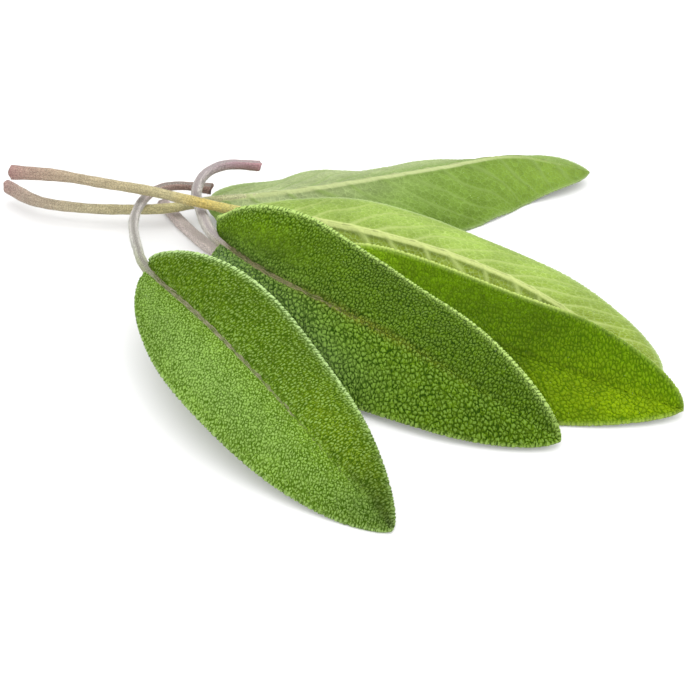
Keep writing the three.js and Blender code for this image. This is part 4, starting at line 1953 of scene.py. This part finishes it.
# --- The five leaves ---
FRONT_UPPER = UpperSkin(
    "sage front upper side", valley=(0.042, 0.1, 0.001), pad=(0.097, 0.175, 0.004),
    crest=(0.24, 0.375, 0.09), bloom=(0.18, 0.3, 0.06), warm=(0.15, 0.2, 0.001),
    rib=(0.26, 0.235, 0.155), rib_streak=(0.095, 0.105, 0.045), pitch=0.41, contrast=0.85, speck=1.1,
    soft=1.3,
)
MIDDLE_UPPER = UpperSkin(
    "sage middle upper side", valley=(0.018, 0.056, 0.0005), pad=(0.085, 0.16, 0.003),
    crest=(0.2, 0.34, 0.055), bloom=(0.13, 0.205, 0.08), warm=(0.14, 0.13, 0.01),
    margin=(0.41, 0.57, 0.16), rib=(0.2, 0.17, 0.09), rib_streak=(0.09, 0.09, 0.045), pitch=0.69,
    contrast=0.85, speck=0.8, soft=0.9,
)
RIGHT_UPPER = UpperSkin(
    "sage right upper side", valley=(0.055, 0.13, 0.0003), pad=(0.095, 0.19, 0.0005),
    crest=(0.165, 0.285, 0.006), bloom=(0.16, 0.27, 0.01), warm=(0.18, 0.275, 0.001),
    margin=(0.45, 0.57, 0.15), pitch=0.66, contrast=0.75, speck=0.5, soft=1.1, gaps=0.4,
)
HIDDEN_UPPER = UpperSkin(
    "sage hidden upper side", valley=(0.03, 0.08, 0.002), pad=(0.09, 0.17, 0.006),
    crest=(0.18, 0.3, 0.06), bloom=(0.12, 0.2, 0.04), warm=(0.1, 0.12, 0.012),
)
PALE_UNDER = UnderSkin(
    "sage pale underside", field=(0.19, 0.28, 0.048), net=(0.265, 0.36, 0.09), vein=(0.37, 0.455, 0.14),
    shaded=(0.165, 0.225, 0.005), rib=(0.47, 0.54, 0.19), pitch=0.68,
)
REAR_UNDER = UnderSkin(
    "sage rear underside", field=(0.105, 0.185, 0.018), net=(0.155, 0.25, 0.042),
    vein=(0.19, 0.28, 0.067), shaded=(0.15, 0.235, 0.03), haze=(0.33, 0.385, 0.19),
    rib=(0.41, 0.47, 0.21), pitch=0.72, folds=0.2,
)
HIDDEN_UNDER = UnderSkin(
    "sage hidden underside", field=(0.2, 0.29, 0.08), net=(0.27, 0.35, 0.13), vein=(0.34, 0.4, 0.17),
    shaded=(0.18, 0.27, 0.06),
)

FRONT_LEAF = Leaf(
    name="front_leaf",
    side=Side.UPPER,
    stalk=(
        (-18.2, 34.4, 2.6), (-24, 34.5, 3.2), (-27.5, 32, 4), (-29.5, 26.5, 5.25), (-30, 18, 7),
        (-28.5, 9, 8.25),
    ),
    midrib=((-26, 2, 8.75), (-17, -10.5, 8.75), (-7.5, -23, 6.75), (1.5, -35, 3.75), (10.5, -47, 0.5)),
    near=Half(11.2, (3, 6, 12, 8, 2), -20, 0.62, 0.72, 0.25, pale=0.12, beads=0.45),
    far=Half(
        11.5, (50, 27, 13, 16, 13), -20, 0.46, 0.735, 2.5, grain=1.1, stretch=1.5, slant=100, tone=0.72,
        fade=0.62,
    ),
    upper=FRONT_UPPER,
    under=HIDDEN_UNDER,
    stem=StalkSkin(
        "front stalk",
        bands=(
            (0.0, (0.23, 0.15, 0.125)), (0.1, (0.31, 0.22, 0.19)), (0.18, (0.44, 0.405, 0.385)),
            (0.32, (0.45, 0.44, 0.4)), (0.37, (0.33, 0.34, 0.24)), (0.42, (0.2, 0.21, 0.12)),
            (1.0, (0.2, 0.28, 0.08)),
        ),
        groove=(0.2, 0.185, 0.165), pith=(0.24, 0.16, 0.12),
    ),
    blade_slot="leaf_upper_dark",
    stem_slot="stalk_mauve",
    mesh_step=0.145,
    seed=3,
    girth=Girth(cut=0.95, free=0.76, base=0.78),
    markings=Markings(
        bloom=(Patch(0.35, 0.6, 0.5, 0.5, 1.0), Patch(0.93, 0.2, 0.1, 0.6, 0.6)),
        warm=(Patch(0.75, -0.4, 0.2, 0.4, 0.4),),
        tones=(
            Patch(0.72, 0.6, 0.15, 0.5, -0.05), Patch(1.0, 0.0, 0.15, 1.0, -0.5),
            Patch(0.1, 0.6, 0.15, 0.6, -0.1), Patch(0.65, -0.3, 0.22, 0.3, 0.1),
            Patch(0.7, -0.6, 0.2, 0.6, 0.06),
        ),
        calm=(Patch(0.12, -0.3, 0.15, 0.5, 0.5),), rib_end=0.98,
    ),
)
MIDDLE_LEAF = Leaf(
    name="middle_leaf",
    side=Side.UPPER,
    stalk=(
        (-10, 34, 7.5), (-15.5, 32, 9), (-19, 30, 8.5), (-20.5, 28, 6.5), (-20, 26, 4.75),
        (-18, 18, 5.75),
    ),
    midrib=(
        (-15.5, 14, 5.75), (-8, 3, 7.75), (2.5, -5.5, 7.5), (13.5, -13, 5.75), (24, -21, 3.5),
        (35, -29.3, 1.4),
    ),
    roll=(-8, -14, -16, -12, -4),
    near=Half(12.8, (8, 1, 0, 7, 0), -10, 0.64, 0.71, -0.5, pale=0.12, beads=0.45, tone=0.83),
    far=Half(
        13.75, (50, 5, -8.5, 2, 20), -10, 0.42, 0.74, 4.4, pale=1.0, beads=0.75, grain=0.76,
        stretch=1.5, slant=105, tone=0.64, fade=0.86,
    ),
    upper=MIDDLE_UPPER,
    under=HIDDEN_UNDER,
    stem=StalkSkin(
        "middle stalk",
        bands=(
            (0.0, (0.36, 0.2, 0.21)), (0.05, (0.33, 0.22, 0.24)), (0.1, (0.39, 0.34, 0.34)),
            (0.14, (0.5, 0.47, 0.45)), (0.27, (0.42, 0.39, 0.35)), (0.31, (0.27, 0.24, 0.17)),
            (0.35, (0.18, 0.18, 0.09)), (1.0, (0.2, 0.28, 0.08)),
        ),
        groove=(0.31, 0.27, 0.27), pith=(0.22, 0.12, 0.12),
    ),
    blade_slot="leaf_upper_dark",
    stem_slot="stalk_mauve",
    seed=8,
    girth=Girth(cut=0.95, free=0.82, base=0.92),
    markings=Markings(
        bloom=(Patch(0.1, 0.5, 0.25, 0.5, 0.9), Patch(0.35, 0.8, 0.2, 0.35, 0.6)),
        warm=(Patch(0.45, 0.0, 0.25, 0.07, 0.7),),
        tones=(Patch(0.08, -0.55, 0.2, 0.5, 0.28), Patch(0.85, 0.5, 0.2, 0.6, -0.1)),
        calm=(Patch(0.12, -0.4, 0.2, 0.4, 0.9),), rib_end=0.6,
    ),
)
RIGHT_LEAF = Leaf(
    name="right_leaf",
    side=Side.UPPER,
    stalk=((-27, 33, 1), (-22, 25, 0.75), (-16.5, 18, 1), (-9.5, 12, 2.25)),
    midrib=(
        (-2.5, 6.5, 3.75), (11.5, -1, 3), (25.5, -8.5, 2.75), (39.5, -16, 2.25), (53.5, -22.5, 1.5),
    ),
    near=Half(13.8, (-1, -3, -5, -5, -2), -6, 0.5, 0.755, 1, pale=0.12, beads=0.45, tone=0.88),
    far=Half(
        12.75, (26, 11, 6, 19, 30), 0, 0.34, 0.6, 1.25, pale=0.9, beads=0.5, grain=0.8, stretch=1.9,
        slant=112, tone=0.9, fade=0.55,
    ),
    upper=RIGHT_UPPER,
    under=HIDDEN_UNDER,
    stem=StalkSkin(
        "right stalk",
        bands=(
            (0.0, (0.5, 0.42, 0.4)), (0.2, (0.54, 0.48, 0.44)), (0.33, (0.42, 0.39, 0.33)),
            (1.0, (0.2, 0.28, 0.08)),
        ),
        groove=(0.48, 0.42, 0.39), pith=(0.3, 0.2, 0.17),
    ),
    blade_slot="leaf_upper_bright",
    stem_slot="stalk_mauve",
    seed=13,
    girth=Girth(free=0.95, base=1.25),
    markings=Markings(
        # The warm patch near the tip is painted light shining through the blade.
        bloom=(Patch(0.05, -0.5, 0.15, 0.8, 0.6),), warm=(Patch(0.87, 0.4, 0.28, 0.7, 1.0),),
        tones=(
            Patch(0.5, -0.6, 0.3, 0.6, -0.34), Patch(0.55, 0.3, 0.15, 0.5, -0.25),
            Patch(0.1, -0.6, 0.1, 0.6, 0.18),
        ),
        calm=(Patch(0.2, -0.7, 0.3, 0.4, 0.7), Patch(0.55, -0.8, 0.2, 0.25, 0.5)), rib_end=0.3,
    ),
)
UPPER_LEAF = Leaf(
    name="upper_leaf",
    side=Side.UNDER,
    stalk=((-51.5, 30.5, 8.5), (-43.5, 29.5, 8.5), (-36, 28, 8), (-28, 26, 7.75), (-21, 23.5, 7.5)),
    midrib=(
        (-13, 22, 6.5), (1.5, 17.5, 7), (16.5, 14, 5), (30, 7.5, 3.25), (41, -3, 2.5), (51, -14.5, 1.5),
    ),
    near=Half(11, (-24, -20, -15, -10, -7), -5, 0.48, 0.82, 1, pale=0.3, beads=0.5),
    far=Half(10.6, (6, 8, -4.5, -4.4, -2), -10, 0.606, 0.585, 0.25, pale=0.4, beads=0.5),
    upper=HIDDEN_UPPER,
    under=PALE_UNDER,
    stem=StalkSkin(
        "straw stalk",
        bands=(
            (0.0, (0.3, 0.175, 0.16)), (0.03, (0.34, 0.24, 0.19)), (0.1, (0.38, 0.31, 0.21)),
            (0.24, (0.41, 0.365, 0.2)), (0.29, (0.5, 0.39, 0.12)), (0.36, (0.47, 0.47, 0.17)),
            (0.6, (0.45, 0.49, 0.19)), (1.0, (0.38, 0.46, 0.14)),
        ),
        groove=(0.24, 0.18, 0.1), pith=(0.28, 0.17, 0.15),
    ),
    blade_slot="leaf_underside",
    stem_slot="stalk_straw",
    mesh_step=0.17,
    seed=21,
    girth=Girth(cut=1.2, flare=14.0),
    markings=Markings(
        warm=(Patch(1.0, 0.2, 0.3, 1.2, 1.0), Patch(0.4, 0.35, 0.35, 0.4, 0.9)),
        tones=(
            Patch(0.48, -0.6, 0.2, 0.5, 0.32), Patch(0.85, 0.6, 0.17, 0.6, -0.2),
            Patch(0.3, 0.4, 0.15, 0.5, -0.22),
        ),
        rib_end=0.6, crease=0.36, rib_width=1.35,
    ),
)
REAR_LEAF = Leaf(
    name="rear_leaf",
    side=Side.UNDER,
    stalk=((-53.5, 35, 3), (-47.5, 30.5, 2.75), (-40, 28.5, 2.75), (-33, 28, 2.75), (-25.5, 28, 3)),
    midrib=(
        (-18, 29.5, 3.5), (-5, 29, 5.5), (8, 32.5, 5.5), (20.5, 37, 5), (33, 40.5, 5), (46, 40, 2.25),
    ),
    near=Half(
        13.9, (-16, -17, -14, -25, -18), -3, 0.56, 0.7, 1, wave=0.9, phase=-1.89, waves=3.7, pale=0.1,
        beads=0.5,
    ),
    far=Half(
        11.3, (-5, -17, -20, -28, -9), -3, 0.48, 0.69, 0.25, wave=0.84, phase=2.29, waves=3.0,
        pale=0.55, beads=0.5,
    ),
    upper=HIDDEN_UPPER,
    under=REAR_UNDER,
    stem=StalkSkin(
        "olive stalk",
        bands=(
            (0.0, (0.31, 0.2, 0.18)), (0.05, (0.37, 0.295, 0.235)), (0.15, (0.4, 0.35, 0.225)),
            (0.3, (0.44, 0.4, 0.2)), (0.4, (0.46, 0.47, 0.26)), (0.75, (0.4, 0.45, 0.2)),
            (1.0, (0.3, 0.38, 0.12)),
        ),
        groove=(0.2, 0.16, 0.09), pith=(0.28, 0.17, 0.15),
    ),
    blade_slot="leaf_underside",
    stem_slot="stalk_straw",
    mesh_step=0.17,
    seed=34,
    girth=Girth(cut=1.15, flare=14.0),
    markings=Markings(
        bloom=(Patch(0.1, 0.0, 0.3, 0.5, 0.9), Patch(0.4, -0.8, 0.4, 0.5, 0.8)),
        warm=(Patch(0.95, 0.0, 0.3, 1.5, 1.0),),
        tones=(
            Patch(0.12, 0.0, 0.22, 0.8, -0.05), Patch(1.0, 0.0, 0.3, 1.0, 0.06),
            Patch(0.56, 0.4, 0.05, 0.4, -0.1), Patch(0.42, 0.5, 0.12, 0.4, 0.08),
            Patch(0.75, 0.15, 0.13, 0.8, 0.15),
        ),
        rib_end=0.6, crease=0.08, rib_width=1.35,
    ),
)
LEAVES = (FRONT_LEAF, MIDDLE_LEAF, RIGHT_LEAF, UPPER_LEAF, REAR_LEAF)


# --- Studio ---
@dataclass(frozen=True)
class Lamp:
    """A soft square light that faces the bunch. Sizes are in metres, power in watts."""

    name: str
    place: Point
    size: float
    power: float

    def hang(self, target: Vector) -> None:
        """Hangs the light.

        Args:
            target: Where it points.
        """
        data = bpy.data.lights.new(self.name, "AREA")
        data.size = self.size
        data.energy = self.power
        lamp = linked(self.name, data)
        lamp.location = self.place
        lamp.rotation_euler = (target - lamp.location).to_track_quat("-Z", "Y").to_euler()


@dataclass(frozen=True)
class Studio:
    """Floor, lights and camera. Sizes are in metres, angles in degrees and the lens in millimetres."""

    target: Point = (0.00402, -0.00477, -0.00065)
    distance: float = 0.295
    elevation: float = 38.0
    lens: float = 100.0
    near_limit: float = 0.01
    floor_size: float = 6.0
    floor_drop: float = 0.02 * MM  # keeps the floor from touching the bunch
    floor_colour: Colour = (0.7, 0.7, 0.7)
    floor_glow: float = 0.15  # lifts the shadows a little
    sky: float = 1.05
    lamps: tuple[Lamp, ...] = (
        Lamp("key", (0.55, 0.18, 0.42), 1.3, 4.4),
        Lamp("top", (-0.04, 0.12, 0.8), 0.9, 2.9),
        Lamp("fill", (-0.4, -0.5, 0.3), 1.0, 1.6),
    )

    def camera(self) -> None:
        """Makes the camera."""
        data = bpy.data.cameras.new("camera")
        data.lens = self.lens
        data.clip_start = self.near_limit
        tilt = math.radians(self.elevation)
        camera = linked("camera", data)
        away = Vector((0, -math.cos(tilt), math.sin(tilt)))
        camera.location = Vector(self.target) + self.distance * away
        camera.rotation_euler = (math.pi / 2 - tilt, 0, 0)
        bpy.context.scene.camera = camera

    def light(self) -> None:
        """Makes the lamps and the even light of the room."""
        world = bpy.data.worlds.new("room")
        world.use_nodes = True
        background = world.node_tree.nodes["Background"]
        for key, value in (("Color", (1.0, 1.0, 1.0, 1.0)), ("Strength", self.sky)):
            background.inputs[key].default_value = value
        bpy.context.scene.world = world
        for lamp in self.lamps:
            lamp.hang(Vector(self.target))

    def floor(self) -> None:
        """Lays the pale floor."""
        half = self.floor_size / 2
        square = ((-half, -half), (half, -half), (half, half), (-half, half))
        mesh = bpy.data.meshes.new("floor")
        mesh.from_pydata([(x, y, -self.floor_drop) for x, y in square], [], [(0, 1, 2, 3)])
        constants = {"Base Color": self.floor_colour, "Roughness": 0.8, "Specular IOR Level": 0.1,
                     "Emission Color": (1.0, 1.0, 1.0), "Emission Strength": self.floor_glow}
        mesh.materials.append(blank_material("white floor", constants).material)
        floor = linked("floor", mesh)
        floor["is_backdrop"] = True

    def set_up(self) -> None:
        """Makes the whole studio."""
        self.camera()
        self.light()
        self.floor()
        bpy.context.scene.view_settings.view_transform = "Standard"


def main() -> None:
    """Builds the bunch and its studio, and writes how large it came out."""
    logging.basicConfig(level=logging.INFO, format="%(name)s: %(message)s")
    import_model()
    cad_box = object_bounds()
    Studio().set_up()
    groups = Groups(net_group(), mottle_group())
    hair = DownSkin("sage down", (0.7, 0.76, 0.55)).material(groups)
    trees = Trees(relief_tree(), down_tree(), groups, hair)
    for leaf in LEAVES:
        for piece in leaf.build(trees):
            keep_inside(piece, cad_box)
            piece.data.calc_loop_triangles()
            LOG.info("%s: %d triangles", piece.name, len(piece.data.loop_triangles))


if __name__ == "__main__":
    main()
